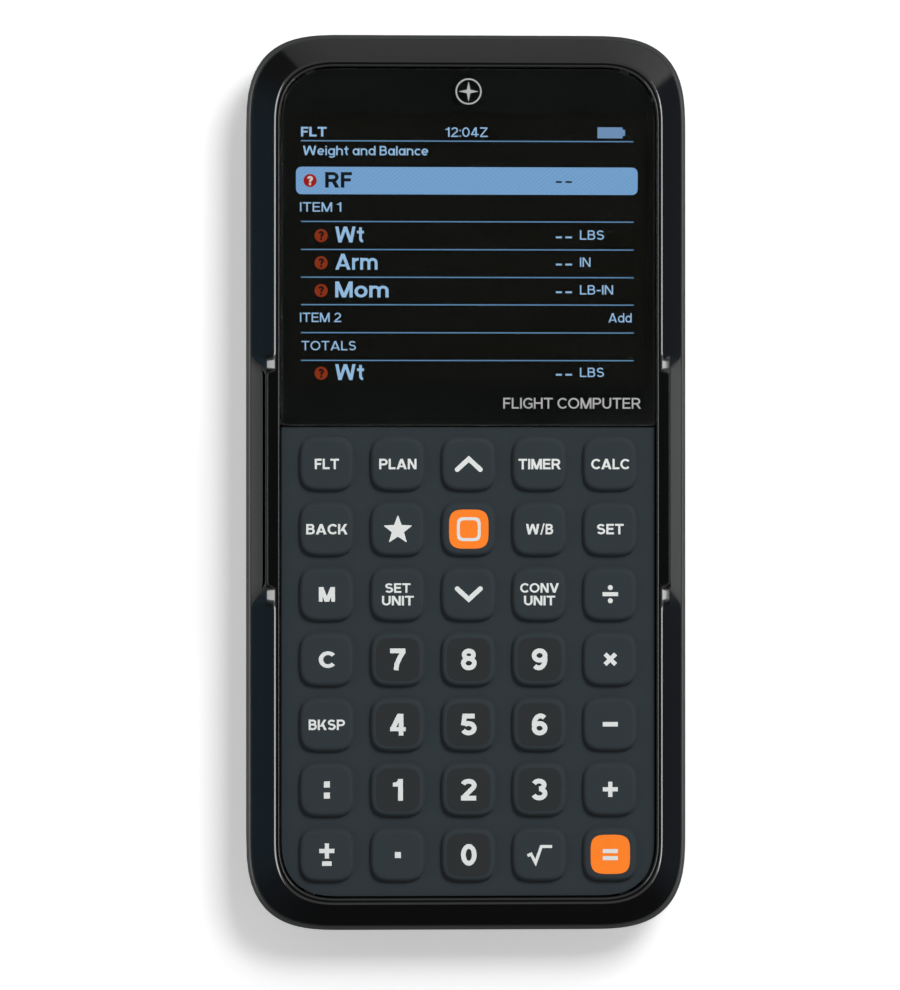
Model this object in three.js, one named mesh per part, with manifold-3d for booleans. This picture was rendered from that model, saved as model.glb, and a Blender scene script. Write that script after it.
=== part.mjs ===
// Handheld electronic flight computer: a flat pocket instrument with a colour display over a
// 35-key rubber keypad, run by four AAA cells behind a sliding door.
//
// Millimetres. It lies on its back: +X to the right of the face, +Y towards the display end and
// +Z out of the face. The origin is under the middle of the case, level with the feet.

import * as THREE from 'three';
import { mergeVertices } from 'three/addons/utils/BufferGeometryUtils.js';
import Module from 'manifold-3d';

const wasm = await Module();
wasm.setup();

// Outline of the case, seen from the front
const BODY_WIDTH = 87.5;
const BODY_LENGTH = 178;
const BODY_CORNER = 19.4;        // how far a corner's curve reaches along each side
const BODY_CORNER_POWER = 3;     // superellipse power: 2 is a round corner, more is squarer
const SIDE_BORDER = 6.4;         // from the outline in to the opening, at the long sides
const END_BORDER = 6.7;          // the same at the two ends
const OPENING_CORNER = 11.5;
const OPENING_CORNER_POWER = 2.5;
const CORNER_STEPS = 12;

// Clearances
const GAP = 0.3;                 // between pieces that touch or nearly touch
const FACE_GAP = 0.15;           // each side of the seam between display window and keypad

// Shell
const FOOT_PROUD = 0.8;
const FLOOR_THICKNESS = 2;
const WALL = 2;
const BACK_ROUND_IN = 6.5;       // how far the rounded back edge reaches in from the outline
const BACK_ROUND_UP = 9;         // and how far it reaches up
const BACK_ROUND_STEPS = 8;
const RIM_BELOW_BOARD = 1.4;      // top of the back case's visible rim below the board
const RIM_WIDTH = 1.1;           // rim that shows outside the bezel
const RIM_ROUND = 0.4;

// Grip notches in the bezel's long sides, measured from the middle of the length
const NOTCH_TOP = 21.1;
const NOTCH_TOP_RAMP = 4.7;
const NOTCH_BOTTOM = -19.5;
const NOTCH_BOTTOM_RAMP = 5.8;
const NOTCH_STEPS = 6;
const NOTCH_DEPTH = 3.4;         // from the outline in to the bezel's steep side
const SHOULDER_RISE = 0.9;       // how far the grip ledge rises from the rim to the bezel
const NOTCH_WALL = 1.3;          // bezel behind its steep side, where the panel leaves room

// Bezel section
const BEZEL_EDGE = 0.5;          // upright edge along the rim
const BEZEL_DRAFT = 0.1;         // how far that edge leans in
const CREST_INSET = 5.6;         // from the outline in to the flat crest
const CREST_ROUND = 0.5;         // fall of the rounded corner outside the crest
const NOTCH_CREST_INSET = 0.6;   // from the steep side in to the flat crest, in a notch
const INNER_BEVEL = 0.4;

// Lip that locates the bezel inside the back case
const LIP_DEPTH = 1.5;
const LIP_THICKNESS = 1.2;

// Cells, battery bay and door
const CELL_COUNT = 4;
const CELL_DIAMETER = 10.5;      // AAA
const CELL_LENGTH = 44.5;
const CELL_BUTTON_RADIUS = 1.9;
const CELL_BUTTON_HEIGHT = 0.8;
const CELL_SIDES = 20;
const CELL_SPACING = 0.7;        // air between one cell and the next
const CONTACT_THICKNESS = 0.4;
const CONTACT_HEIGHT = 9;
const SPRING_LENGTH = 3.9;
const SPRING_WIRE = 0.7;
const SPRING_TURNS = 2.5;
const SPRING_BASE_RADIUS = 3.2;
const SPRING_TIP_RADIUS = 1.9;
const BAY_WALL = 1.6;
const BAY_ROOF = 0.8;
const BAY_END_MARGIN = 12.5;     // from the case's lower end to the bay
const DOOR_THICKNESS = 1.7;
const DOOR_TONGUE = 1;           // how far each side rail of the door reaches into its groove
const DOOR_TONGUE_THICKNESS = 0.8;
const DOOR_OVERLAP = 3.5;        // door beyond the bay at the display end
const DOOR_SIDE_OVERLAP = 1.4;   // door beyond the bay at each side
const GRIP_RIDGES = 5;
const GRIP_RIDGE_PITCH = 2.4;
const GRIP_GROOVE_WIDTH = 1.2;
const GRIP_GROOVE_DEPTH = 0.5;
const GRIP_GROOVE_LENGTH = 16;
const GRIP_FROM_TOP = 11.5;

// Board and keypad
const BOARD_THICKNESS = 1;
const BOARD_SIDE_MARGIN = 5.8;   // from the outline in to the board
const MAT_THICKNESS = 2.2;
const MAT_FLANGE = 1.1;          // how far the mat's flange reaches under the bezel
const MAT_FLANGE_THICKNESS = 0.6;
const KEY_SIDE_MARGIN = 9.2;     // from the opening's side to the middle of the outer column
const KEY_TOP_MARGIN = 7.5;      // from the face's seam down to the middle of the top row
const KEY_WIDTH = 10;
const KEY_LENGTH = 9.9;
const KEY_CORNER = 3;
const KEY_CORNER_STEPS = 2;
const KEY_EDGE = 0.7;            // slope around a key's top
const KEY_PROUD = 1.5;           // key top above the mat
const KEY_TRAVEL = 0.9;

// Display
const BEZEL_PROUD = 1.7;         // bezel crest above the mat
const LENS_BELOW_CREST = 0.7;
const LENS_THICKNESS = 1.5;
const LEDGE_THICKNESS = 0.9;     // bezel ledge that carries the lens
const LEDGE_BITE = 1;            // how far the ledge reaches into the bezel
const SCREEN_WIDTH = 70.08;      // lit area of a 3.5 inch 4:3 panel
const SCREEN_LENGTH = 52.56;
const SCREEN_BORDER = 0.6;       // ledge opening beyond the lit area
const SCREEN_TOP_MARGIN = 9.9;   // from the opening's upper end to the lit area
const PANEL_SIDE = 3.4;          // panel glass beyond the lit area at the sides and top
const PANEL_FOOT = 7.3;          // and at the end where its cable leaves
const PANEL_THICKNESS = 3;
const TRAY_THICKNESS = 0.6;
const TRAY_WALL = 0.8;
const FLEX_WIDTH = 28;
const FLEX_THICKNESS = 0.25;

// Screws and feet
const SCREW_END_MARGIN = 7.45;
const SCREW_RADIUS = 0.9;
const SCREW_HEAD_RADIUS = 1.9;
const SCREW_HEAD_HEIGHT = 1.5;
const SCREW_HEAD_DEPTH = 4;      // from the back's face up to the seat under the head
const SCREW_SIDES = 14;
const TUBE_RADIUS = 3;
const BOSS_RADIUS = 2.2;
const TAB_HALF_WIDTH = 3.2;
const TAB_THICKNESS = 1.2;
const FOOT_WIDTH = 5;
const FOOT_END_MARGIN = 21;
const FOOT_POCKET = 0.6;
const POST_RADIUS = 2.5;

// Levels, worked up from the feet
const CASE_BOTTOM = FOOT_PROUD;
const FLOOR_TOP = CASE_BOTTOM + FLOOR_THICKNESS;
const DOOR_TOP = CASE_BOTTOM + DOOR_THICKNESS;
const CELL_AXIS_Z = DOOR_TOP + GAP + CELL_DIAMETER / 2;
const BAY_ROOF_BOTTOM = CELL_AXIS_Z + CELL_DIAMETER / 2 + GAP;
const BAY_ROOF_TOP = BAY_ROOF_BOTTOM + BAY_ROOF;
const BOARD_BOTTOM = BAY_ROOF_TOP + GAP;
const BOARD_TOP = BOARD_BOTTOM + BOARD_THICKNESS;
const MAT_BOTTOM = BOARD_TOP + GAP;
const MAT_TOP = MAT_BOTTOM + MAT_THICKNESS;
const FLANGE_TOP = MAT_BOTTOM + MAT_FLANGE_THICKNESS;
const KEY_BOTTOM = BOARD_TOP + KEY_TRAVEL + GAP;
const KEY_TOP = MAT_TOP + KEY_PROUD;
const CREST_Z = MAT_TOP + BEZEL_PROUD;
const RIM_Z = BOARD_BOTTOM - RIM_BELOW_BOARD;
const LIP_BOTTOM = RIM_Z - LIP_DEPTH;
const BEZEL_UNDERSIDE = FLANGE_TOP + GAP;
const LENS_TOP = CREST_Z - LENS_BELOW_CREST;
const LENS_BOTTOM = LENS_TOP - LENS_THICKNESS;
const LEDGE_TOP = LENS_BOTTOM - GAP;
const LEDGE_BOTTOM = LEDGE_TOP - LEDGE_THICKNESS;
const PANEL_TOP = LEDGE_BOTTOM - GAP;
const PANEL_BOTTOM = PANEL_TOP - PANEL_THICKNESS;
const TRAY_TOP = PANEL_BOTTOM - GAP;
const TRAY_BOTTOM = TRAY_TOP - TRAY_THICKNESS;

// Places across the face that several pieces share
const CELL_PITCH = CELL_DIAMETER + CELL_SPACING;
const BAY_HALF_WIDTH = (CELL_COUNT * CELL_PITCH) / 2 + GAP;
const BAY_LENGTH = CELL_LENGTH + GAP + SPRING_LENGTH + GAP + 2 * (CONTACT_THICKNESS + GAP);
const BAY_BOTTOM_Y = -BODY_LENGTH / 2 + BAY_END_MARGIN;
const BAY_TOP_Y = BAY_BOTTOM_Y + BAY_LENGTH;
const DOOR_HALF_WIDTH = BAY_HALF_WIDTH + DOOR_SIDE_OVERLAP;
const DOOR_TOP_Y = BAY_TOP_Y + DOOR_OVERLAP;
const GROOVE_HALF_WIDTH = DOOR_HALF_WIDTH + DOOR_TONGUE + GAP;
const GRIP_MIDDLE_Y = DOOR_TOP_Y - GRIP_FROM_TOP;
const SIDE_STRIP_X = (GROOVE_HALF_WIDTH + BODY_WIDTH / 2 - BACK_ROUND_IN) / 2;
const SCREW_Y = BODY_LENGTH / 2 - SCREW_END_MARGIN;
const FOOT_LENGTH = BODY_LENGTH - 2 * FOOT_END_MARGIN;
const OPENING_END_Y = BODY_LENGTH / 2 - END_BORDER;
const SCREEN_MIDDLE_Y = OPENING_END_Y - SCREEN_TOP_MARGIN - SCREEN_LENGTH / 2;
const PANEL_HALF_WIDTH = SCREEN_WIDTH / 2 + PANEL_SIDE;
const PANEL_TOP_Y = SCREEN_MIDDLE_Y + SCREEN_LENGTH / 2 + PANEL_SIDE;
const PANEL_BOTTOM_Y = SCREEN_MIDDLE_Y - SCREEN_LENGTH / 2 - PANEL_FOOT;
const FACE_SEAM_Y = PANEL_BOTTOM_Y - TRAY_WALL - 2 * GAP;   // where window and keypad meet
const KEY_TOP_ROW_Y = FACE_SEAM_Y - KEY_TOP_MARGIN;
const KEY_LAST_ROW_Y = -SCREW_Y + BOSS_RADIUS + 2 * GAP + KEY_LENGTH / 2;
const KEY_OUTER_COLUMN_X = BODY_WIDTH / 2 - SIDE_BORDER - KEY_SIDE_MARGIN;
const BOARD_HALF_WIDTH = BODY_WIDTH / 2 - BOARD_SIDE_MARGIN;
const BOARD_TOP_Y = PANEL_BOTTOM_Y - TRAY_WALL - 2 * GAP;
const BOARD_BOTTOM_Y = -SCREW_Y + TUBE_RADIUS;
const BEYOND = 10;               // overshoot of a cutting block past what it cuts

const KEY_ROWS = [
  ['flt', 'plan', 'up', 'timer', 'calc'],
  ['back', 'star', 'menu', 'wb', 'set'],
  ['m', 'set_unit', 'down', 'conv_unit', 'divide'],
  ['c', '7', '8', '9', 'multiply'],
  ['bksp', '4', '5', '6', 'minus'],
  ['colon', '1', '2', '3', 'plus'],
  ['sign', 'point', '0', 'root', 'equals'],
];
const ORANGE_KEYS = ['menu', 'equals'];

const FINISHES = {
  bezel: { color: 0x101214, roughness: 0.12, metalness: 0 },
  case: { color: 0x4a4d4a, roughness: 0.7, metalness: 0 },
  rubber: { color: 0x34393c, roughness: 0.75, metalness: 0 },
  orange: { color: 0xf5822b, roughness: 0.6, metalness: 0 },
  window: { color: 0x0e1011, roughness: 0.05, metalness: 0 },
  glass: { color: 0x16181a, roughness: 0.2, metalness: 0 },
  board: { color: 0x1d5b36, roughness: 0.5, metalness: 0 },
  flex: { color: 0xb06a1e, roughness: 0.4, metalness: 0 },
  steel: { color: 0xb9bcc0, roughness: 0.3, metalness: 1 },
  cell: { color: 0x2c3e63, roughness: 0.35, metalness: 0.4 },
  foot: { color: 0x202123, roughness: 0.85, metalness: 0 },
};

const flightComputer = new THREE.Group();

// ---------------------------------------------------------------------------------------------
// Solids

function mix(a, b, share) {
  return a + (b - a) * share;
}

/** A closed mesh as a manifold solid. */
function solidOf(geometry) {
  const bare = geometry.clone();
  bare.deleteAttribute('normal');
  bare.deleteAttribute('uv');
  const merged = mergeVertices(bare, 1e-4);
  return new wasm.Manifold(new wasm.Mesh({
    numProp: 3,
    vertProperties: merged.attributes.position.array,
    triVerts: Uint32Array.from(merged.index.array),
  }));
}

/** A manifold solid as a three.js geometry. */
function geometryOf(solid) {
  const mesh = solid.getMesh();
  const geometry = new THREE.BufferGeometry();
  geometry.setAttribute('position', new THREE.BufferAttribute(mesh.vertProperties, 3));
  geometry.setIndex(new THREE.BufferAttribute(mesh.triVerts, 1));
  return geometry;
}

/** Adds one named piece to the model. */
function piece(name, geometry, finish) {
  geometry.computeVertexNormals();
  const mesh = new THREE.Mesh(geometry, new THREE.MeshStandardMaterial(FINISHES[finish]));
  mesh.name = name;
  flightComputer.add(mesh);
  return mesh;
}

function block(x0, x1, y0, y1, z0, z1) {
  const geometry = new THREE.BoxGeometry(x1 - x0, y1 - y0, z1 - z0);
  geometry.translate((x0 + x1) / 2, (y0 + y1) / 2, (z0 + z1) / 2);
  return solidOf(geometry);
}

function post(x, y, radius, z0, z1, sides = 16) {
  const geometry = new THREE.CylinderGeometry(radius, radius, z1 - z0, sides);
  geometry.rotateX(Math.PI / 2);
  geometry.translate(x, y, (z0 + z1) / 2);
  return solidOf(geometry);
}

/** A flat plate with the given outline, from level z0 to z1. */
function plate(points, z0, z1) {
  const outline = points.map(([x, y]) => new THREE.Vector2(x, y));
  const geometry = new THREE.ExtrudeGeometry(new THREE.Shape(outline), {
    depth: z1 - z0,
    bevelEnabled: false,
  });
  geometry.translate(0, 0, z0);
  return solidOf(geometry);
}

/** Joins loops of equal count into a skin: closed on itself as a ring, or capped at both ends. */
function skin(loops, asRing) {
  const count = loops[0].length;
  const positions = loops.flat(2);
  const index = [];
  const bands = asRing ? loops.length : loops.length - 1;
  for (let band = 0; band < bands; band += 1) {
    const low = band * count;
    const high = ((band + 1) % loops.length) * count;
    for (let i = 0; i < count; i += 1) {
      const next = (i + 1) % count;
      index.push(low + i, low + next, high + next);
      index.push(low + i, high + next, high + i);
    }
  }
  if (!asRing) {
    const last = (loops.length - 1) * count;
    for (let i = 1; i < count - 1; i += 1) {
      index.push(0, i + 1, i);
      index.push(last, last + i, last + i + 1);
    }
  }
  const geometry = new THREE.BufferGeometry();
  geometry.setAttribute('position', new THREE.Float32BufferAttribute(positions, 3));
  geometry.setIndex(index);
  return solidOf(geometry);
}

// ---------------------------------------------------------------------------------------------
// Outlines

/** Points of one superellipse quarter, from the +X end to the +Y end of the corner's reach. */
function cornerArc(reach, power, steps) {
  const points = [];
  for (let i = 0; i <= steps; i += 1) {
    const angle = (i / steps) * (Math.PI / 2);
    const x = i === steps ? 0 : Math.cos(angle) ** (2 / power);
    const y = i === 0 ? 0 : Math.sin(angle) ** (2 / power);
    points.push([reach * x, reach * y]);
  }
  return points;
}

/** A rectangle about the origin with superellipse corners, anticlockwise from its right side. */
function roundedOutline(halfX, halfY, reach, power, steps) {
  const arc = cornerArc(reach, power, steps);
  const back = [...arc].reverse();
  const cx = halfX - reach;
  const cy = halfY - reach;
  return [
    ...arc.map(([x, y]) => [cx + x, cy + y]),
    ...back.map(([x, y]) => [-cx - x, cy + y]),
    ...arc.map(([x, y]) => [-cx - x, -cy - y]),
    ...back.map(([x, y]) => [cx + x, -cy - y]),
  ];
}

/** The case outline moved in by inset: at SIDE_BORDER it is the outline of the opening. */
function outlineAt(inset) {
  const share = inset / SIDE_BORDER;
  return {
    halfX: BODY_WIDTH / 2 - inset,
    halfY: BODY_LENGTH / 2 - share * END_BORDER,
    reach: mix(BODY_CORNER, OPENING_CORNER, share),
    power: mix(BODY_CORNER_POWER, OPENING_CORNER_POWER, share),
  };
}

function openingOutline(inset) {
  const { halfX, halfY, reach, power } = outlineAt(inset);
  return roundedOutline(halfX, halfY, reach, power, CORNER_STEPS);
}

/** Places along a long side where the notch's ramps are drawn, with how deep the notch is there. */
function notchStations() {
  const stations = [];
  for (let i = 0; i <= NOTCH_STEPS; i += 1) {
    const share = i / NOTCH_STEPS;
    const depth = share * share * (3 - 2 * share);
    stations.push({ y: NOTCH_BOTTOM - NOTCH_BOTTOM_RAMP * (1 - share), depth });
    stations.push({ y: NOTCH_TOP + NOTCH_TOP_RAMP * (1 - share), depth });
  }
  return stations.sort((a, b) => a.y - b.y);
}

/**
 * One loop round the case at an inset and a level. In the notches it moves to the second
 * inset and level, following the ramps.
 */
function sideLoop([inset, z], [notchInset, notchZ] = [inset, z]) {
  const { halfX, halfY, reach, power } = outlineAt(inset);
  const arc = cornerArc(reach, power, CORNER_STEPS);
  const back = [...arc].reverse();
  const cx = halfX - reach;
  const cy = halfY - reach;
  const stations = notchStations();
  const side = stations.map(({ y, depth }) => [
    halfX - (notchInset - inset) * depth, y, mix(z, notchZ, depth),
  ]);
  const leftSide = [...side].reverse();
  return [
    ...side,
    ...arc.map(([x, y]) => [cx + x, cy + y, z]),
    ...back.map(([x, y]) => [-cx - x, cy + y, z]),
    ...leftSide.map(([x, y, level]) => [-x, y, level]),
    ...arc.map(([x, y]) => [-cx - x, -cy - y, z]),
    ...back.map(([x, y]) => [cx + x, -cy - y, z]),
  ];
}

/** Loops of a rounded lower edge that starts at [inset, z] and grows out and up. */
function roundedEdge(inset, z, reachIn, reachUp) {
  const loops = [];
  for (let i = 0; i <= BACK_ROUND_STEPS; i += 1) {
    const angle = (i / BACK_ROUND_STEPS) * (Math.PI / 2);
    const here = [inset - reachIn * Math.sin(angle), z + reachUp * (1 - Math.cos(angle))];
    loops.push(sideLoop(here));
  }
  return loops;
}

// ---------------------------------------------------------------------------------------------
// Back case and battery door

const SCREW_PLACES = [
  [SIDE_STRIP_X, SCREW_Y], [-SIDE_STRIP_X, SCREW_Y], [-SIDE_STRIP_X, -SCREW_Y], [SIDE_STRIP_X, -SCREW_Y],
];
const POST_PLACES = [-1, 1].flatMap((side) => [
  [side * (PANEL_HALF_WIDTH - 4 * POST_RADIUS), PANEL_BOTTOM_Y + 3 * POST_RADIUS],
  [side * (PANEL_HALF_WIDTH - 4 * POST_RADIUS), PANEL_TOP_Y - 3 * POST_RADIUS],
]);

/** The outside of the case with no hollow, up to the rim. */
function caseOutside() {
  return [
    ...roundedEdge(BACK_ROUND_IN, CASE_BOTTOM, BACK_ROUND_IN, BACK_ROUND_UP),
    sideLoop([0, RIM_Z - RIM_ROUND]),
    sideLoop([RIM_WIDTH - GAP, RIM_Z]),
  ];
}

/** The shell as one cup: outside up to the rim, over the grip ledges and down the inside. */
function shell() {
  const inner = roundedEdge(
    BACK_ROUND_IN + WALL / 2, FLOOR_TOP, BACK_ROUND_IN - WALL / 2, BACK_ROUND_UP - WALL,
  ).reverse();
  return skin([
    ...caseOutside(),
    sideLoop([WALL, RIM_Z], [NOTCH_DEPTH - GAP, RIM_Z + SHOULDER_RISE]),
    ...inner,
  ], false);
}

/** The door's space: its plate, grown by a gap, with the grooves for its side rails. */
function doorBlock(grow) {
  const half = DOOR_HALF_WIDTH + grow;
  const top = DOOR_TOP_Y + grow;
  const body = block(-half, half, -BODY_LENGTH / 2 - BEYOND, top, -BEYOND, DOOR_TOP + grow);
  const rails = block(
    -half - DOOR_TONGUE, half + DOOR_TONGUE, -BODY_LENGTH / 2 - BEYOND, top,
    DOOR_TOP - DOOR_TONGUE_THICKNESS - grow, DOOR_TOP + grow,
  );
  return body.add(rails);
}

function backCase() {
  const bayHalf = GROOVE_HALF_WIDTH + BAY_WALL;
  const bayOutside = block(
    -bayHalf, bayHalf, BAY_BOTTOM_Y - BAY_WALL, DOOR_TOP_Y + BAY_WALL, CASE_BOTTOM, BAY_ROOF_TOP,
  );
  const channelRoof = block(
    -bayHalf, bayHalf, -BODY_LENGTH / 2, DOOR_TOP_Y, CASE_BOTTOM, DOOR_TOP + GAP + BAY_WALL,
  );
  const outside = skin([...caseOutside(), sideLoop([RIM_WIDTH, BOARD_BOTTOM])], false);
  let solid = shell().add(bayOutside.add(channelRoof).intersect(outside));
  for (const [x, y] of SCREW_PLACES) {
    const tube = post(x, y, TUBE_RADIUS, CASE_BOTTOM, LIP_BOTTOM - GAP).intersect(outside);
    solid = solid.add(tube);
  }
  for (const [x, y] of POST_PLACES) {
    solid = solid.add(post(x, y, POST_RADIUS, CASE_BOTTOM + WALL / 2, TRAY_BOTTOM - GAP));
  }
  const standoffX = BOARD_HALF_WIDTH - 2 * POST_RADIUS;
  for (const side of [-1, 1]) {
    for (const y of [BOARD_TOP_Y - 2 * POST_RADIUS, DOOR_TOP_Y]) {
      const standoff = post(side * standoffX, y, POST_RADIUS, CASE_BOTTOM + WALL / 2, BOARD_BOTTOM - GAP);
      solid = solid.add(standoff);
    }
  }
  const bay = block(
    -BAY_HALF_WIDTH, BAY_HALF_WIDTH, BAY_BOTTOM_Y, BAY_TOP_Y, -BEYOND, BAY_ROOF_BOTTOM,
  );
  solid = solid.subtract(bay).subtract(doorBlock(GAP));
  for (const [x, y] of SCREW_PLACES) {
    solid = solid.subtract(post(x, y, SCREW_RADIUS + GAP, -BEYOND, RIM_Z + BEYOND, SCREW_SIDES));
    const seat = CASE_BOTTOM + SCREW_HEAD_DEPTH;
    solid = solid.subtract(post(x, y, SCREW_HEAD_RADIUS + GAP, -BEYOND, seat, SCREW_SIDES));
  }
  for (const side of [-1, 1]) {
    solid = solid.subtract(footBlock(side, GAP, CASE_BOTTOM + FOOT_POCKET));
  }
  return solid;
}

function batteryDoor() {
  const outside = skin(caseOutside(), false);
  let solid = doorBlock(0).intersect(outside);
  for (let i = 0; i < GRIP_RIDGES; i += 1) {
    const y = GRIP_MIDDLE_Y + (i - (GRIP_RIDGES - 1) / 2) * GRIP_RIDGE_PITCH;
    solid = solid.subtract(block(
      -GRIP_GROOVE_LENGTH / 2, GRIP_GROOVE_LENGTH / 2,
      y - GRIP_GROOVE_WIDTH / 2, y + GRIP_GROOVE_WIDTH / 2,
      -BEYOND, CASE_BOTTOM + GRIP_GROOVE_DEPTH,
    ));
  }
  return solid;
}

function footBlock(side, grow, top) {
  const half = FOOT_WIDTH / 2 + grow;
  const outline = roundedOutline(half, FOOT_LENGTH / 2 + grow, half, 2, 3);
  return plate(outline.map(([x, y]) => [x + side * SIDE_STRIP_X, y]), -grow, top);
}

function screw(x, y) {
  const seat = CASE_BOTTOM + SCREW_HEAD_DEPTH - GAP;
  const top = BEZEL_UNDERSIDE - 2 * GAP;
  const head = post(x, y, SCREW_HEAD_RADIUS, seat - SCREW_HEAD_HEIGHT, seat, SCREW_SIDES);
  const shank = post(x, y, SCREW_RADIUS, seat - SCREW_HEAD_HEIGHT / 2, top, SCREW_SIDES);
  const slot = block(
    x - SCREW_HEAD_RADIUS, x + SCREW_HEAD_RADIUS, y - GAP, y + GAP,
    seat - SCREW_HEAD_HEIGHT - BEYOND, seat - SCREW_HEAD_HEIGHT * 0.6,
  );
  return head.add(shank).subtract(slot);
}

// ---------------------------------------------------------------------------------------------
// Bezel, display window and keypad

/** The bezel's section, each point as [inset, level] and as it is in the notches. */
function bezelSection() {
  const lipOut = WALL + GAP;
  const lipIn = lipOut + LIP_THICKNESS;
  const panelClear = BODY_WIDTH / 2 - PANEL_HALF_WIDTH - 2 * GAP;
  const notchIn = Math.min(NOTCH_DEPTH + NOTCH_WALL, panelClear);
  const low = RIM_Z + GAP;
  return [
    [[RIM_WIDTH, low], [NOTCH_DEPTH, low + SHOULDER_RISE]],
    [
      [RIM_WIDTH + BEZEL_DRAFT, low + BEZEL_EDGE],
      [NOTCH_DEPTH + BEZEL_DRAFT / 2, low + SHOULDER_RISE + BEZEL_EDGE],
    ],
    [
      [CREST_INSET - CREST_ROUND, CREST_Z - CREST_ROUND],
      [NOTCH_DEPTH + NOTCH_CREST_INSET / 2, CREST_Z - CREST_ROUND],
    ],
    [[CREST_INSET, CREST_Z - BEZEL_DRAFT], [NOTCH_DEPTH + NOTCH_CREST_INSET, CREST_Z - BEZEL_DRAFT]],
    [[SIDE_BORDER - INNER_BEVEL, CREST_Z]],
    [[SIDE_BORDER, CREST_Z - INNER_BEVEL]],
    [[SIDE_BORDER, BEZEL_UNDERSIDE]],
    [[lipIn, BEZEL_UNDERSIDE], [notchIn, BEZEL_UNDERSIDE]],
    [[lipIn, LIP_BOTTOM], [notchIn, LIP_BOTTOM]],
    [[lipOut, LIP_BOTTOM], [NOTCH_DEPTH, LIP_BOTTOM]],
    [[lipOut, low], [NOTCH_DEPTH, low + SHOULDER_RISE - GAP]],
  ];
}

/** Tabs that carry the bosses at the keypad's lower corners, grown to cut their pockets. */
function cornerTab(side, grow) {
  const x = side * SIDE_STRIP_X;
  const half = TAB_HALF_WIDTH + grow;
  const outerY = -BODY_LENGTH / 2 + END_BORDER - 1;
  return block(
    x - half, x + half, outerY - grow, -SCREW_Y + BOSS_RADIUS + grow,
    MAT_BOTTOM - grow, MAT_BOTTOM + TAB_THICKNESS + grow,
  );
}

/** The ledge under the display window, with the opening that shows the screen. */
function windowLedge() {
  const seamY = FACE_SEAM_Y + GAP;
  const inside = openingOutline(SIDE_BORDER - LEDGE_BITE);
  const sheet = plate(inside, LEDGE_BOTTOM, LEDGE_TOP).intersect(block(
    -BODY_WIDTH, BODY_WIDTH, seamY, BODY_LENGTH, -BEYOND, CREST_Z,
  ));
  const halfX = SCREEN_WIDTH / 2 + SCREEN_BORDER;
  const halfY = SCREEN_LENGTH / 2 + SCREEN_BORDER;
  return sheet.subtract(block(
    -halfX, halfX, SCREEN_MIDDLE_Y - halfY, SCREEN_MIDDLE_Y + halfY, -BEYOND, CREST_Z,
  ));
}

function frontBezel() {
  const section = bezelSection();
  let solid = skin(section.map(([full, notch]) => sideLoop(full, notch)), true);
  solid = solid.add(windowLedge());
  for (const side of [-1, 1]) {
    solid = solid.add(cornerTab(side, 0));
  }
  const bossTop = BEZEL_UNDERSIDE + GAP;
  for (const [x, y] of SCREW_PLACES) {
    solid = solid.add(post(x, y, BOSS_RADIUS, LIP_BOTTOM, bossTop));
    solid = solid.subtract(
      post(x, y, SCREW_RADIUS + GAP, -BEYOND, BEZEL_UNDERSIDE - GAP, SCREW_SIDES),
    );
  }
  return solid;
}

function displayWindow() {
  const outline = openingOutline(SIDE_BORDER + GAP);
  const upper = block(
    -BODY_WIDTH, BODY_WIDTH, FACE_SEAM_Y + FACE_GAP, BODY_LENGTH, -BEYOND, CREST_Z,
  );
  return plate(outline, LENS_BOTTOM, LENS_TOP).intersect(upper);
}

/** A key's prism: full size up to the edge slope, then the slope to its top. */
function keySolid(x, y) {
  const halfX = KEY_WIDTH / 2;
  const halfY = KEY_LENGTH / 2;
  const full = roundedOutline(halfX, halfY, KEY_CORNER, 2, KEY_CORNER_STEPS);
  const small = roundedOutline(
    halfX - KEY_EDGE, halfY - KEY_EDGE, KEY_CORNER - KEY_EDGE / 2, 2, KEY_CORNER_STEPS,
  );
  const lift = (points, z) => points.map(([px, py]) => [x + px, y + py, z]);
  return skin([
    lift(full, KEY_BOTTOM), lift(full, KEY_TOP - KEY_EDGE), lift(small, KEY_TOP),
  ], false);
}

function keyPlaces() {
  const lastRow = KEY_ROWS.length - 1;
  return KEY_ROWS.flatMap((row, rowNumber) => row.map((name, columnNumber) => ({
    name,
    x: mix(-KEY_OUTER_COLUMN_X, KEY_OUTER_COLUMN_X, columnNumber / (row.length - 1)),
    y: mix(KEY_TOP_ROW_Y, KEY_LAST_ROW_Y, rowNumber / lastRow),
  })));
}

function keypadMat() {
  const lower = block(
    -BODY_WIDTH, BODY_WIDTH, -BODY_LENGTH, FACE_SEAM_Y - FACE_GAP, -BEYOND, CREST_Z,
  );
  const body = plate(openingOutline(SIDE_BORDER + GAP), MAT_BOTTOM, MAT_TOP);
  const flange = plate(openingOutline(SIDE_BORDER - MAT_FLANGE), MAT_BOTTOM, FLANGE_TOP);
  let solid = body.add(flange).intersect(lower);
  for (const side of [-1, 1]) {
    solid = solid.subtract(cornerTab(side, GAP));
    const boss = post(side * SIDE_STRIP_X, -SCREW_Y, BOSS_RADIUS + GAP, -BEYOND, BEZEL_UNDERSIDE + 2 * GAP);
    solid = solid.subtract(boss);
  }
  const halfX = KEY_WIDTH / 2 + GAP;
  const halfY = KEY_LENGTH / 2 + GAP;
  const hole = roundedOutline(halfX, halfY, KEY_CORNER + GAP, 2, KEY_CORNER_STEPS);
  for (const { x, y } of keyPlaces()) {
    solid = solid.subtract(plate(hole.map(([px, py]) => [x + px, y + py]), -BEYOND, KEY_TOP));
  }
  return solid;
}

// ---------------------------------------------------------------------------------------------
// Display module and board

function displayPanel() {
  return block(
    -PANEL_HALF_WIDTH, PANEL_HALF_WIDTH, PANEL_BOTTOM_Y, PANEL_TOP_Y, PANEL_BOTTOM, PANEL_TOP,
  );
}

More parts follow.
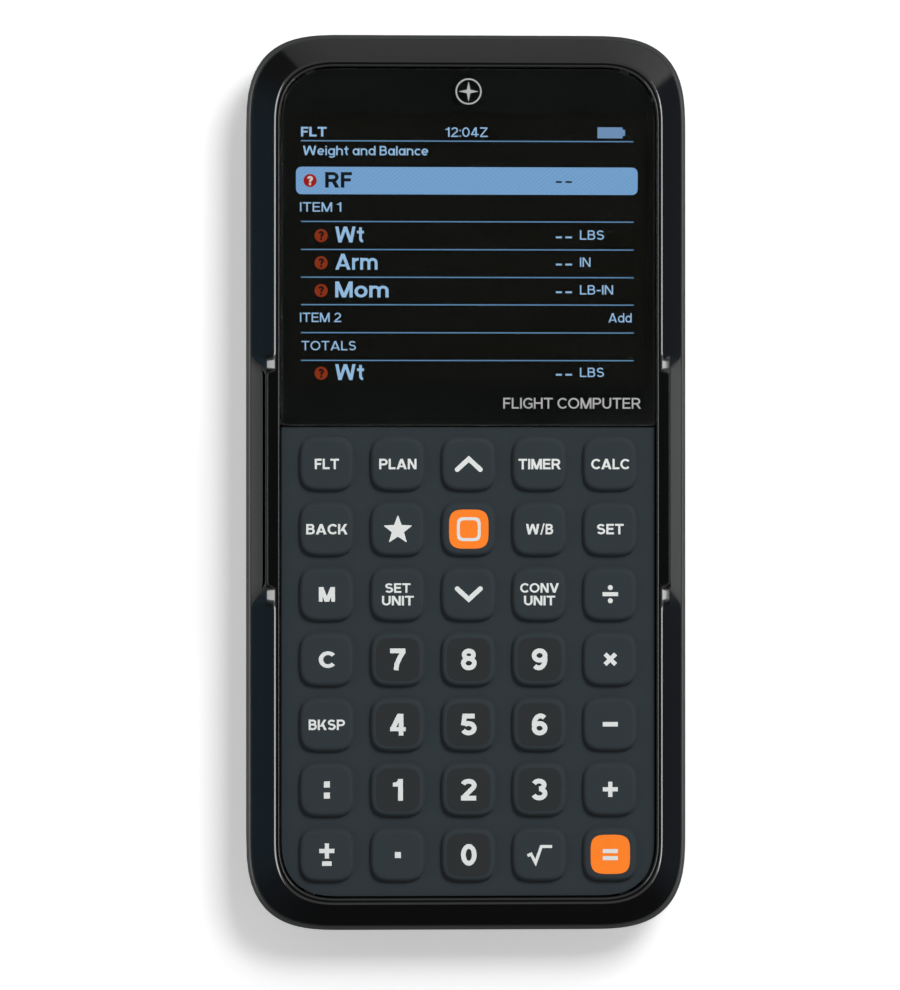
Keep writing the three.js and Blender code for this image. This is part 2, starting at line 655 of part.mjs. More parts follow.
/** Tray under the panel, with end walls; the lower wall is open in the middle for the cable. */
function displayTray() {
  const low = PANEL_BOTTOM_Y - GAP;
  const high = PANEL_TOP_Y + GAP;
  const base = block(
    -PANEL_HALF_WIDTH, PANEL_HALF_WIDTH, low - TRAY_WALL, high + TRAY_WALL, TRAY_BOTTOM, TRAY_TOP,
  );
  const upperWall = block(
    -PANEL_HALF_WIDTH, PANEL_HALF_WIDTH, high, high + TRAY_WALL, TRAY_BOTTOM, PANEL_TOP,
  );
  const lowerWall = block(
    -PANEL_HALF_WIDTH, PANEL_HALF_WIDTH, low - TRAY_WALL, low, TRAY_BOTTOM, PANEL_TOP,
  );
  const cableHalf = FLEX_WIDTH / 2 + 2 * GAP;
  const cableWay = block(
    -cableHalf, cableHalf, low - TRAY_WALL - GAP, low, -BEYOND, CREST_Z,
  );
  return base.add(upperWall).add(lowerWall).subtract(cableWay);
}

const CONNECTOR_Y = BOARD_TOP_Y - 10;
const CONNECTOR_LENGTH = 4;
const CONNECTOR_HEIGHT = 1.6;

/** The ribbon: leaves the panel's lower edge, sags, and rises to the board's connector. */
function displayCable() {
  const start = PANEL_BOTTOM_Y - GAP;
  const startZ = mix(PANEL_BOTTOM, PANEL_TOP, 0.3);
  const end = CONNECTOR_Y + CONNECTOR_LENGTH / 2 + GAP;
  const endZ = BOARD_BOTTOM - CONNECTOR_HEIGHT / 2;
  const sag = 2.2;
  const steps = 10;
  const upper = [];
  const lower = [];
  for (let i = 0; i <= steps; i += 1) {
    const share = i / steps;
    const y = mix(start, end, share);
    const z = mix(startZ, endZ, share) - sag * Math.sin(share * Math.PI);
    upper.push([y, z + FLEX_THICKNESS / 2]);
    lower.unshift([y, z - FLEX_THICKNESS / 2]);
  }
  const outline = [...upper, ...lower].map(([y, z]) => new THREE.Vector2(y, z));
  const geometry = new THREE.ExtrudeGeometry(new THREE.Shape(outline), {
    depth: FLEX_WIDTH,
    bevelEnabled: false,
  });
  geometry.rotateX(Math.PI / 2);
  geometry.rotateZ(Math.PI / 2);
  geometry.translate(-FLEX_WIDTH / 2, 0, 0);
  return solidOf(geometry);
}

/** Board with its processor, memory, crystal and cable connector on the underside. */
function mainBoard() {
  const outline = roundedOutline(
    BOARD_HALF_WIDTH, (BOARD_TOP_Y - BOARD_BOTTOM_Y) / 2, OPENING_CORNER, OPENING_CORNER_POWER, 4,
  );
  const middleY = (BOARD_TOP_Y + BOARD_BOTTOM_Y) / 2;
  let solid = plate(outline.map(([x, y]) => [x, y + middleY]), BOARD_BOTTOM, BOARD_TOP);
  const y = (CONNECTOR_Y - CONNECTOR_LENGTH / 2 + DOOR_TOP_Y + BAY_WALL) / 2;
  const parts = [
    { x: -14, y, width: 9, length: 9, height: 1.4 },
    { x: 4, y, width: 11, length: 8, height: 1.2 },
    { x: 20, y, width: 4, length: 8, height: 2.4 },
    { x: 0, y: CONNECTOR_Y, width: FLEX_WIDTH + 2, length: CONNECTOR_LENGTH, height: CONNECTOR_HEIGHT },
  ];
  for (const { x, y: partY, width, length, height } of parts) {
    solid = solid.add(block(
      x - width / 2, x + width / 2, partY - length / 2, partY + length / 2,
      BOARD_BOTTOM - height, BOARD_TOP,
    ));
  }
  return solid;
}

// ---------------------------------------------------------------------------------------------
// Cells and their contacts

function cellX(number) {
  return (number - (CELL_COUNT - 1) / 2) * CELL_PITCH;
}

/** Odd cells have their button towards the display, even cells away from it. */
function buttonUp(number) {
  return number % 2 === 0;
}

/** A cell, standing along +Y with its button at the far end when it points up. */
function cellGeometry(number) {
  const radius = CELL_DIAMETER / 2;
  const shoulder = CELL_LENGTH - CELL_BUTTON_HEIGHT;
  const edge = 0.3;
  const profile = [
    [0, 0], [radius - edge, 0], [radius, edge], [radius, shoulder - edge],
    [radius - edge, shoulder], [CELL_BUTTON_RADIUS, shoulder],
    [CELL_BUTTON_RADIUS, CELL_LENGTH], [0, CELL_LENGTH],
  ].map(([r, y]) => new THREE.Vector2(r, y));
  const geometry = new THREE.LatheGeometry(profile, CELL_SIDES);
  const plateFace = CONTACT_THICKNESS + GAP;
  if (buttonUp(number)) {
    geometry.translate(cellX(number), BAY_TOP_Y - plateFace - GAP - CELL_LENGTH, CELL_AXIS_Z);
  } else {
    geometry.rotateX(Math.PI);
    const y = BAY_BOTTOM_Y + plateFace + GAP + CELL_LENGTH;
    geometry.translate(cellX(number), y, CELL_AXIS_Z);
  }
  return geometryOf(solidOf(geometry));
}

/** A conical wire spring that grows from a plate's face at [x, y] along +Y or -Y. */
function spring(x, y, direction) {
  const points = [];
  const stepsPerTurn = 10;
  const steps = SPRING_TURNS * stepsPerTurn;
  for (let i = 0; i <= steps; i += 1) {
    const share = i / steps;
    const angle = share * SPRING_TURNS * 2 * Math.PI;
    const radius = mix(SPRING_BASE_RADIUS, SPRING_TIP_RADIUS, share);
    points.push(new THREE.Vector3(
      x + radius * Math.cos(angle),
      y + direction * share * (SPRING_LENGTH - SPRING_WIRE / 2),
      CELL_AXIS_Z + radius * Math.sin(angle),
    ));
  }
  const section = new THREE.Shape();
  section.absarc(0, 0, SPRING_WIRE / 2, 0, 2 * Math.PI, false);
  return solidOf(new THREE.ExtrudeGeometry(section, {
    steps,
    curveSegments: 5,
    extrudePath: new THREE.CatmullRomCurve3(points),
  }));
}

/** A contact plate at one end of the bay that serves cells first to last. */
function contact(first, last, atTop) {
  const wallY = atTop ? BAY_TOP_Y - GAP : BAY_BOTTOM_Y + GAP;
  const inward = atTop ? -1 : 1;
  const faceY = wallY + inward * CONTACT_THICKNESS;
  const half = CELL_DIAMETER / 2 - 2 * GAP;
  let solid = block(
    cellX(first) - half, cellX(last) + half, Math.min(wallY, faceY), Math.max(wallY, faceY),
    CELL_AXIS_Z - CONTACT_HEIGHT / 2, CELL_AXIS_Z + CONTACT_HEIGHT / 2,
  );
  for (let number = first; number <= last; number += 1) {
    if (buttonUp(number) !== atTop) {
      solid = solid.add(spring(cellX(number), faceY, inward));
    }
  }
  return solid;
}

// ---------------------------------------------------------------------------------------------
// Assembly

piece('back_case', geometryOf(backCase()), 'case');
piece('front_bezel', geometryOf(frontBezel()), 'bezel');
piece('display_window', geometryOf(displayWindow()), 'window');
piece('lcd_panel', geometryOf(displayPanel()), 'glass');
piece('lcd_frame', geometryOf(displayTray()), 'steel');
piece('lcd_flex', geometryOf(displayCable()), 'flex');
piece('main_board', geometryOf(mainBoard()), 'board');
piece('keypad_mat', geometryOf(keypadMat()), 'rubber');
for (const { name, x, y } of keyPlaces()) {
  const finish = ORANGE_KEYS.includes(name) ? 'orange' : 'rubber';
  piece(`key_${name}`, geometryOf(keySolid(x, y)), finish);
}
piece('battery_door', geometryOf(batteryDoor()), 'case');
for (let number = 0; number < CELL_COUNT; number += 1) {
  piece(`battery_${number + 1}`, cellGeometry(number), 'cell');
}
piece('contact_positive', geometryOf(contact(0, 0, true)), 'steel');
piece('contact_link_1', geometryOf(contact(0, 1, false)), 'steel');
piece('contact_link_2', geometryOf(contact(1, 2, true)), 'steel');
piece('contact_link_3', geometryOf(contact(2, 3, false)), 'steel');
piece('contact_negative', geometryOf(contact(3, 3, true)), 'steel');
SCREW_PLACES.forEach(([x, y], i) => {
  piece(`case_screw_${i + 1}`, geometryOf(screw(x, y)), 'steel');
});
for (const [name, side] of [['foot_left', -1], ['foot_right', 1]]) {
  piece(name, geometryOf(footBlock(side, 0, CASE_BOTTOM + FOOT_POCKET - GAP)), 'foot');
}

export default flightComputer;
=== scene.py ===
"""A handheld flight computer: finished shells, keypad, display and inside parts on the CAD frame."""

import math
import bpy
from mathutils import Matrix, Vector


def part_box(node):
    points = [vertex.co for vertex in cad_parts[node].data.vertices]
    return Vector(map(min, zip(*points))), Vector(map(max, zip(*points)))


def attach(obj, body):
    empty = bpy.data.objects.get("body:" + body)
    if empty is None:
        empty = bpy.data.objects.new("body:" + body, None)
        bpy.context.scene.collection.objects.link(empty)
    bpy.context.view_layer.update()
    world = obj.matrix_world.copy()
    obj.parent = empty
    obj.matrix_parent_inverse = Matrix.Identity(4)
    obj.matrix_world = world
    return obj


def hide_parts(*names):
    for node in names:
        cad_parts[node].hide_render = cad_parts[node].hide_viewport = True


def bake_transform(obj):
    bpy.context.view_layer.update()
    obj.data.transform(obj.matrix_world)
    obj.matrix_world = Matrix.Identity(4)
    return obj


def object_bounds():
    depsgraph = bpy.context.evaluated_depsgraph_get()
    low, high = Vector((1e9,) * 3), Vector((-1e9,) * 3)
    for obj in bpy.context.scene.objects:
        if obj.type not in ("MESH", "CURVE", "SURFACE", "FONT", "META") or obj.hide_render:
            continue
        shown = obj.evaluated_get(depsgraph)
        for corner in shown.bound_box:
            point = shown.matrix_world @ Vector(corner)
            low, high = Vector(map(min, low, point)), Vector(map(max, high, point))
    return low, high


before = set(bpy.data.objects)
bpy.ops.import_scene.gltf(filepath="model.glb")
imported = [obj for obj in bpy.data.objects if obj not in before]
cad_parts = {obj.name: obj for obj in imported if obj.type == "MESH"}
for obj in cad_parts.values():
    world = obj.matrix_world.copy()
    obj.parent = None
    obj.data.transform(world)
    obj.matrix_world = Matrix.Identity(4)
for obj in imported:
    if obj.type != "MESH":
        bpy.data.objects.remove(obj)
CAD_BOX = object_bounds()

from types import SimpleNamespace

import bmesh
import bpy
import numpy as np
from mathutils import Matrix, Vector

bl_info = {
    "name": "Handheld flight computer",
    "version": (1, 0, 0),
    "blender": (4, 5, 0),
    "location": "3D View > Sidebar > Flight computer",
    "description": "Builds the finished surfaces of a handheld flight computer around its frame",
    "category": "Add Mesh",
}

MM = 0.001
HOUSING = "housing"
FACET_RISE = 0.577      # height over width of a facet tilted 30 degrees
KEY_ASPECT = 0.99       # a key's length over its width
ROUND_STEPS = 6         # points in each rounded corner of a carried section
RING_POINTS = 72        # points round a key or a sign
SMALL_LETTER = 0.74     # height of a small letter over that of a capital

# Key names row by row from the top, as their nodes are named.
KEY_ROWS = [
    ["flt", "plan", "up", "timer", "calc"],
    ["back", "star", "menu", "wb", "set"],
    ["m", "set_unit", "down", "conv_unit", "divide"],
    ["c", "7", "8", "9", "multiply"],
    ["bksp", "4", "5", "6", "minus"],
    ["colon", "1", "2", "3", "plus"],
    ["sign", "point", "0", "root", "equals"],
]
KEY_NAMES = [name for row in KEY_ROWS for name in row]
ORANGE_KEYS = ["menu", "equals"]

# Words on the keys: lines of lettering with the width of each in millimetres.
KEY_WORDS = {
    "flt": [("FLT", 4.8)],
    "plan": [("PLAN", 7.4)],
    "timer": [("TIMER", 8.4)],
    "calc": [("CALC", 7.6)],
    "back": [("BACK", 8.2)],
    "wb": [("W/B", 5.4)],
    "set": [("SET", 5.3)],
    "set_unit": [("SET", 5.0), ("UNIT", 6.3)],
    "conv_unit": [("CONV", 7.7), ("UNIT", 6.2)],
    "bksp": [("BKSP", 7.2)],
}


def linear(hex_colour):
    """An sRGB colour such as "2A2D2E" as linear red, green, blue and alpha."""
    shares = np.array([int(hex_colour[i:i + 2], 16) for i in (0, 2, 4)]) / 255
    bright = ((shares + 0.055) / 1.055) ** 2.4
    values = np.where(shares <= 0.04045, shares / 12.92, bright)
    return (float(values[0]), float(values[1]), float(values[2]), 1.0)


def length(name, millimetres, description):
    """A length that a user can change, with its default in millimetres."""
    return bpy.props.FloatProperty(
        name=name, description=description, default=millimetres * MM, unit="LENGTH", precision=5
    )


def tint(name, hex_colour, description):
    """A colour that a user can change, with its default as sRGB hex."""
    return bpy.props.FloatVectorProperty(
        name=name, description=description, default=linear(hex_colour), size=4,
        subtype="COLOR", min=0, max=1,
    )


def number(name, value, description):
    """A plain number that a user can change."""
    return bpy.props.FloatProperty(name=name, description=description, default=value)


# ------------------------------------------------------------------------------------------------
# Settings


class CaseSettings(bpy.types.PropertyGroup):
    """Outline, notches and colours of the two shells."""

    corner_reach: length("Corner reach", 19.4, "How far a corner's curve runs along each side")
    corner_power: number("Corner power", 3.0, "Superellipse power of the outer corners")
    opening_reach: length("Opening corner", 11.5, "The same reach at the opening")
    opening_power: number("Opening power", 2.5, "Superellipse power of the opening's corners")
    side_border: length("Side border", 6.4, "From the outline in to the opening, at the long sides")
    end_border: length("End border", 6.7, "From the outline in to the opening, at the ends")
    notch_top: length("Notch top", 21.1, "Upper end of the grip notches' full depth")
    notch_top_ramp: length("Notch top ramp", 4.7, "Run-out beyond the upper end")
    notch_bottom: length("Notch bottom", -19.5, "Lower end of the grip notches' full depth")
    notch_bottom_ramp: length("Notch bottom ramp", 5.8, "Run-out beyond the lower end")
    notch_depth: length("Notch depth", 3.4, "From the outline in to the steep side")
    rim_height: length("Rim height", 13.3, "Top of the back case's rim above the feet")
    rim_width: length("Rim width", 0.85, "Rim that shows outside the bezel")
    rim_round: length("Rim round", 0.45, "How far the rim's rounded edge reaches in")
    shoulder_rise: length("Shoulder rise", 0.9, "Climb of the grip ledge from rim to bezel")
    crest_facet: length("Crest facet", 0.38, "Width of the bright facet along the crest")
    gap: length("Gap", 0.3, "Clearance between neighbouring pieces")
    bezel_colour: tint("Bezel", "0A0A0B", "Glossy front bezel")
    case_colour: tint("Case", "424543", "Grained back case and door")
    # The rim's grey is the case grey darkened, painted shade on the rim beside the bezel.
    shaded_rim_colour: tint("Rim", "353836", "Satin rim of the back case")
    foot_colour: tint("Feet", "1B1C1D", "Rubber feet")


class KeypadSettings(bpy.types.PropertyGroup):
    """Sizes and colours of the rubber keypad."""

    plateau: length("Key top", 8.7, "Width of a key's flat top")
    foot: length("Key foot", 10.9, "Width of a key where it meets the mat")
    digit_pad: length("Digit pad", 8.6, "Width of the darker pad on a digit key")
    orange_pad: length("Orange pad", 7.85, "Width of the orange inset")
    word_height: length("Word height", 2.07, "Capital height of a one-line word")
    pair_height: length("Pair height", 1.9, "Capital height of a two-line word")
    digit_height: length("Digit height", 4.3, "Height of the digits")
    rubber_colour: tint("Rubber", "343C40", "Keypad silicone")
    pad_colour: tint("Digit pads", "303335", "Digit pads")
    orange_colour: tint("Orange", "FC8027", "Orange insets")
    ink_colour: tint("Legends", "F2F6F4", "Printed legends")


class ScreenSettings(bpy.types.PropertyGroup):
    """Sizes and colours of the display."""

    lit_width: length("Lit width", 70.08, "Width of the lit area")
    lit_length: length("Lit length", 52.56, "Length of the lit area")
    lit_border: length("Lit border", 0.6, "Clear margin of the black print round the lit area")
    lit_top_margin: length("Top margin", 9.9, "From the opening's upper end to the lit area")
    lit_blue: tint("Blue text", "98C0E4", "Lit lettering")
    icon_blue: tint("Battery sign", "7194BA", "Battery sign in the top row")
    rule_blue: tint("Rules", "6490B8", "Thin lines between the rows")
    bar_blue: tint("Selection", "78A6D4", "Selected row")
    marker_red: tint("Marker", "A01410", "Round marker of the selected row")
    marker_orange: tint("Other markers", "8A2E08", "Round markers of the other rows")


class StageSettings(bpy.types.PropertyGroup):
    """Camera, lights and floor."""

    camera_distance: length("Camera distance", 1500, "From the face to the camera")
    camera_turn: bpy.props.FloatProperty(
        name="Camera turn", description="How far the camera stands to the left of upright",
        default=math.radians(3.8), subtype="ANGLE",
    )
    frame_height: length("Frame height", 197.1, "Height of the view at the face")
    aim_x: length("Aim across", -3.25, "Middle of the view across the face")
    aim_y: length("Aim along", -2.5, "Middle of the view along the face")
    aim_z: length("Aim height", 12.5, "Level at which the frame height holds")
    floor_colour: tint("Floor", "F7F7F7", "Plain floor")
    floor_glow: number("Floor glow", 0.36, "Light that comes up through the floor, as on a light table")


# ------------------------------------------------------------------------------------------------
# Materials


def add(tree, kind, inputs=None, **settings):
    """Adds a node: inputs maps a socket's name or place to a value, or to the socket that feeds it."""
    node = tree.nodes.new(kind)
    for name, value in settings.items():
        setattr(node, name, value)
    for name, value in (inputs or {}).items():
        if isinstance(value, bpy.types.NodeSocket):
            tree.links.new(value, node.inputs[name])
        else:
            node.inputs[name].default_value = value
    return node


def start_material(name):
    """A new material: the material, its node tree, its shader and its object coordinates."""
    material = bpy.data.materials.new(name)
    material.use_nodes = True
    tree = material.node_tree
    place = add(tree, "ShaderNodeTexCoord").outputs["Object"]
    return material, tree, tree.nodes["Principled BSDF"], place


def feed(tree, shader, **sources):
    """Feeds the shader: Base_Color=socket links it, and a plain value is set on the socket."""
    for name, value in sources.items():
        socket = shader.inputs[name.replace("_", " ")]
        if isinstance(value, bpy.types.NodeSocket):
            tree.links.new(value, socket)
        else:
            socket.default_value = value


def shaded(colour, share):
    """A colour made lighter or darker by a share."""
    return (*[min(1.0, value * share) for value in colour[:3]], 1.0)


def polymer(name, colour, roughness, grain, depth, mottle=0.08, patch=8 * MM, **shader_values):
    """A moulded polymer. Its colour drifts by the mottle share over patches, and its surface has a
    grain of the given size and depth that also breaks up the gloss."""
    material, tree, shader, place = start_material(name)
    clouds = add(tree, "ShaderNodeTexNoise", {"Vector": place, "Scale": 1 / patch, "Detail": 3.0})
    colours = add(
        tree, "ShaderNodeMix",
        {0: clouds.outputs["Fac"], 6: shaded(colour, 1 - mottle), 7: shaded(colour, 1 + mottle)},
        data_type="RGBA",
    )
    fine = add(tree, "ShaderNodeTexNoise", {"Vector": place, "Scale": 1 / grain, "Detail": 2.0})
    gloss = add(
        tree, "ShaderNodeMapRange",
        {"Value": fine.outputs["Fac"], "To Min": roughness * 0.88, "To Max": roughness * 1.12},
    )
    bump = add(
        tree, "ShaderNodeBump", {"Height": fine.outputs["Fac"], "Strength": 1.0, "Distance": depth}
    )
    feed(
        tree, shader, Base_Color=colours.outputs[2], Roughness=gloss.outputs["Result"],
        Normal=bump.outputs["Normal"], **shader_values,
    )
    return material


def plated_metal(name, colour, roughness, scratch, stretch=(1, 14, 1)):
    """A stamped and plated metal: fine drawing marks of the scratch size, stretched along one axis."""
    material, tree, shader, place = start_material(name)
    drawn = add(tree, "ShaderNodeMapping", {"Vector": place, "Scale": [1 / s for s in stretch]})
    marks = add(
        tree, "ShaderNodeTexNoise",
        {"Vector": drawn.outputs["Vector"], "Scale": 1 / scratch, "Detail": 4.0},
    )
    colours = add(
        tree, "ShaderNodeMix",
        {0: marks.outputs["Fac"], 6: shaded(colour, 0.82), 7: shaded(colour, 1.08)},
        data_type="RGBA",
    )
    gloss = add(
        tree, "ShaderNodeMapRange",
        {"Value": marks.outputs["Fac"], "To Min": roughness * 0.7, "To Max": roughness * 1.3},
    )
    bump = add(
        tree, "ShaderNodeBump",
        {"Height": marks.outputs["Fac"], "Strength": 0.6, "Distance": 0.01 * MM},
    )
    feed(
        tree, shader, Base_Color=colours.outputs[2], Roughness=gloss.outputs["Result"],
        Normal=bump.outputs["Normal"], Metallic=1.0,
    )
    return material


def gloss_abs(colour):
    """ABS moulded in a polished tool with a hard clear coat: deep black with crisp highlights and
    the faint waviness of moulded plastic, a few millimetres across."""
    return polymer(
        "gloss_moulded_abs", colour, 0.16, 2.5 * MM, 0.0015 * MM, mottle=0.05,
        IOR=1.54, Coat_Weight=1.0, Coat_Roughness=0.06,
    )


def grained_abs(colour):
    """ABS moulded in a spark-eroded tool: an even grey matt with a fine sandy grain. The real grain
    of 0.1 mm is drawn at 0.35 mm, so that it shows."""
    return polymer(
        "spark_eroded_abs", colour, 0.55, 0.35 * MM, 0.02 * MM, mottle=0.06, IOR=1.54,
    )


def silicone(name, colour, **shader_values):
    """Compression-moulded silicone rubber: a soft dusty matt with a faint bloom at grazing angles
    and a powdery grain of 0.3 mm."""
    return polymer(
        name, colour, 0.62, 0.3 * MM, 0.012 * MM, mottle=0.07, patch=5 * MM, IOR=1.43,
        Specular_IOR_Level=0.2, Sheen_Weight=0.05, Sheen_Roughness=0.5, **shader_values,
    )


def screen_ink(name, colour, roughness=0.45, **shader_values):
    """Screen-printed ink: an opaque film, satin, its colour a little uneven as the mesh lays it."""
    return polymer(
        name, colour, roughness, 0.15 * MM, 0.004 * MM, mottle=0.04, patch=1.2 * MM, **shader_values
    )


def cast_acrylic():
    """Cast acrylic sheet: clear, with a polished face and the faintest trace of handling in its gloss."""
    material, tree, shader, place = start_material("cast_acrylic")
    smears = add(tree, "ShaderNodeTexNoise", {"Vector": place, "Scale": 1 / (14 * MM), "Detail": 5.0})
    gloss = add(
        tree, "ShaderNodeMapRange",
        {
            "Value": smears.outputs["Fac"], "From Min": 0.4, "From Max": 0.8, "To Min": 0.01,
            "To Max": 0.05,
        },
    )
    feed(
        tree, shader, Base_Color=(0.97, 0.98, 0.98, 1), Roughness=gloss.outputs["Result"],
        IOR=1.49, Transmission_Weight=1.0,
    )
    return material


def lit_cells(name, colour, hatch=0.0):
    """Lit liquid crystal cells, 0.219 mm apart: each glows a little less towards its edges, and a
    filled area carries a fine slanting hatch, 0.6 mm apart, of the given share."""
    material, tree, shader, place = start_material(name)
    pitch = 0.219 * MM
    cells = add(tree, "ShaderNodeVectorMath", {0: place, 1: (1 / pitch,) * 3}, operation="MULTIPLY")
    within = add(tree, "ShaderNodeVectorMath", {0: cells.outputs[0]}, operation="FRACTION")
    centred_cell = add(
        tree, "ShaderNodeVectorMath", {0: within.outputs[0], 1: (0.5, 0.5, 0)}, operation="SUBTRACT"
    )
    flat = add(
        tree, "ShaderNodeVectorMath", {0: centred_cell.outputs[0], 1: (1, 1, 0)}, operation="MULTIPLY"
    )
    away = add(tree, "ShaderNodeVectorMath", {0: flat.outputs[0]}, operation="LENGTH")
    dim = add(
        tree, "ShaderNodeMapRange",
        {"Value": away.outputs["Value"], "From Min": 0.3, "From Max": 0.7, "To Min": 0.0, "To Max": 1.0},
    )
    turned = add(
        tree, "ShaderNodeMapping", {"Vector": place, "Rotation": (0, 0, math.radians(52))}
    )
    lines = add(
        tree, "ShaderNodeTexWave", {"Vector": turned.outputs["Vector"], "Scale": 0.31 / (0.6 * MM)}
    )
    glow = add(
        tree, "ShaderNodeMix",
        {0: lines.outputs["Fac"], 6: shaded(colour, 1 + hatch), 7: shaded(colour, 1 - hatch)},
        data_type="RGBA",
    )
    colours = add(
        tree, "ShaderNodeMix",
        {0: dim.outputs["Result"], 6: glow.outputs[2], 7: shaded(colour, 0.85)}, data_type="RGBA",
    )
    feed(
        tree, shader, Base_Color=(0.004, 0.004, 0.004, 1), Roughness=0.5,
        Emission_Color=colours.outputs[2], Emission_Strength=1.0, Specular_IOR_Level=0.1,
    )
    return material


def panel_glass():
    """Polarised display glass: near black with a faint warm backlight leak, stronger in patches."""
    material, tree, shader, place = start_material("polarised_panel_glass")
    leak = add(tree, "ShaderNodeTexNoise", {"Vector": place, "Scale": 1 / (30 * MM), "Detail": 1.0})
    glow = add(
        tree, "ShaderNodeMix",
        {0: leak.outputs["Fac"], 6: linear("0B0A04"), 7: linear("100E06")}, data_type="RGBA",
    )
    grit = add(tree, "ShaderNodeTexNoise", {"Vector": place, "Scale": 1 / (0.4 * MM)})
    gloss = add(
        tree, "ShaderNodeMapRange", {"Value": grit.outputs["Fac"], "To Min": 0.25, "To Max": 0.4}
    )
    feed(
        tree, shader, Base_Color=(0.004, 0.004, 0.004, 1), Roughness=gloss.outputs["Result"],
        Emission_Color=glow.outputs[2], Emission_Strength=0.4, Specular_IOR_Level=0.1,
    )
    return material


def board_laminate():
    """Glass-epoxy board under green solder resist: copper runs 1.4 mm apart show through as a
    lighter, slightly raised mesh."""
    material, tree, shader, place = start_material("solder_resist_laminate")
    runs = add(
        tree, "ShaderNodeTexBrick",
        {
            "Vector": place, "Color1": linear("14512F"), "Color2": linear("1A5C36"),
            "Mortar": linear("2C7A4B"), "Scale": 1 / (6 * MM), "Mortar Size": 0.05,
        },
    )
    bump = add(
        tree, "ShaderNodeBump", {"Height": runs.outputs["Fac"], "Strength": 0.5, "Distance": 0.03 * MM}
    )
    feed(
        tree, shader, Base_Color=runs.outputs["Color"], Roughness=0.32, IOR=1.52,
        Normal=bump.outputs["Normal"],
    )
    return material


def cell_sleeve():
    """Heat-shrunk PVC sleeve on a dry cell: satin blue-grey with a pale band round the middle."""
    material, tree, shader, place = start_material("shrunk_pvc_sleeve")
    low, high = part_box("battery_1")
    parts = add(tree, "ShaderNodeSeparateXYZ", {0: place})
    along = add(
        tree, "ShaderNodeMapRange", {"Value": parts.outputs["Y"], "From Min": low.y, "From Max": high.y}
    )
    bands = add(tree, "ShaderNodeValToRGB", {"Fac": along.outputs["Result"]})
    bands.color_ramp.interpolation = "CONSTANT"
    bands.color_ramp.elements[0].color = linear("33454F")
    for share, hex_colour in ((0.4, "B9C0C2"), (0.62, "33454F")):
        bands.color_ramp.elements.new(share).color = linear(hex_colour)
    bands.color_ramp.elements[-1].color = linear("33454F")
    wrinkles = add(tree, "ShaderNodeTexNoise", {"Vector": place, "Scale": 1 / (3 * MM), "Detail": 2.0})
    bump = add(
        tree, "ShaderNodeBump",
        {"Height": wrinkles.outputs["Fac"], "Strength": 0.5, "Distance": 0.02 * MM},
    )
    feed(
        tree, shader, Base_Color=bands.outputs["Color"], Roughness=0.34, IOR=1.53,
        Normal=bump.outputs["Normal"],
    )
    return material


# ------------------------------------------------------------------------------------------------
# Meshes


def grid_faces(rows, columns, close_rows=False):
    """Quads between neighbours of a grid of points whose columns run all the way round."""
    row = np.arange(rows if close_rows else rows - 1)[:, None]
    column = np.arange(columns)[None, :]
    next_row = (row + 1) % rows
    next_column = (column + 1) % columns
    corners = [
        row * columns + column, next_row * columns + column,
        next_row * columns + next_column, row * columns + next_column,
    ]
    return np.stack(np.broadcast_arrays(*corners), axis=-1).reshape(-1, 4)


def fan_faces(first, columns, pole):
    """Triangles from a ring of points to its pole."""
    ring = first + np.arange(columns)
    return np.stack([ring, np.roll(ring, -1), np.full(columns, pole)], axis=-1)


def make_mesh(name, points, faces, sharp=35, outward=True):
    """A mesh from arrays of points and faces, with smooth faces and edges over the angle kept sharp,
    or flat faces at an angle of 0. A closed one has its faces turned outwards."""
    mesh = bpy.data.meshes.new(name)
    mesh.from_pydata(np.asarray(points, float).tolist(), [], [list(map(int, face)) for face in faces])
    if outward:
        shape = bmesh.new()
        shape.from_mesh(mesh)
        bmesh.ops.recalc_face_normals(shape, faces=shape.faces)
        shape.to_mesh(mesh)
        shape.free()
    mesh.polygons.foreach_set("use_smooth", np.full(len(mesh.polygons), sharp > 0))
    if sharp:
        mesh.set_sharp_from_angle(angle=math.radians(sharp))
    return mesh


def lofted(name, rings, first_pole=None, last_pole=None, sharp=35, outward=True):
    """A surface through rings of points, closed by a fan to a pole at either end where one is given."""
    rows, columns = rings.shape[:2]
    points = rings.reshape(-1, 3)
    faces = list(grid_faces(rows, columns))
    if first_pole is not None:
        faces += list(fan_faces(0, columns, len(points)))
        points = np.vstack([points, first_pole])
    if last_pole is not None:
        faces += list(fan_faces((rows - 1) * columns, columns, len(points))[:, ::-1])
        points = np.vstack([points, last_pole])
    return make_mesh(name, points, faces, sharp, outward)


def put(name, mesh, materials, body=None, stands_for=()):
    """Puts a mesh in the scene as a piece, which rides on a body if one is named."""
    piece = bpy.data.objects.new(name, mesh)
    bpy.context.scene.collection.objects.link(piece)
    for material in materials:
        mesh.materials.append(material)
    if body:
        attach(piece, body)
    if stands_for:
        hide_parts(*stands_for)
    return piece


def thicken(piece, thickness):
    """Gives a sheet its thickness, downwards from its face."""
    modifier = piece.modifiers.new("thickness", "SOLIDIFY")
    modifier.thickness = thickness
    modifier.offset = -1
    return piece


def node_mesh(node):
    """A CAD node's mesh and its points as an array."""
    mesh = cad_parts[node].data
    points = np.empty(len(mesh.vertices) * 3, np.float32)
    mesh.vertices.foreach_get("co", points)
    return mesh, points.reshape(-1, 3)


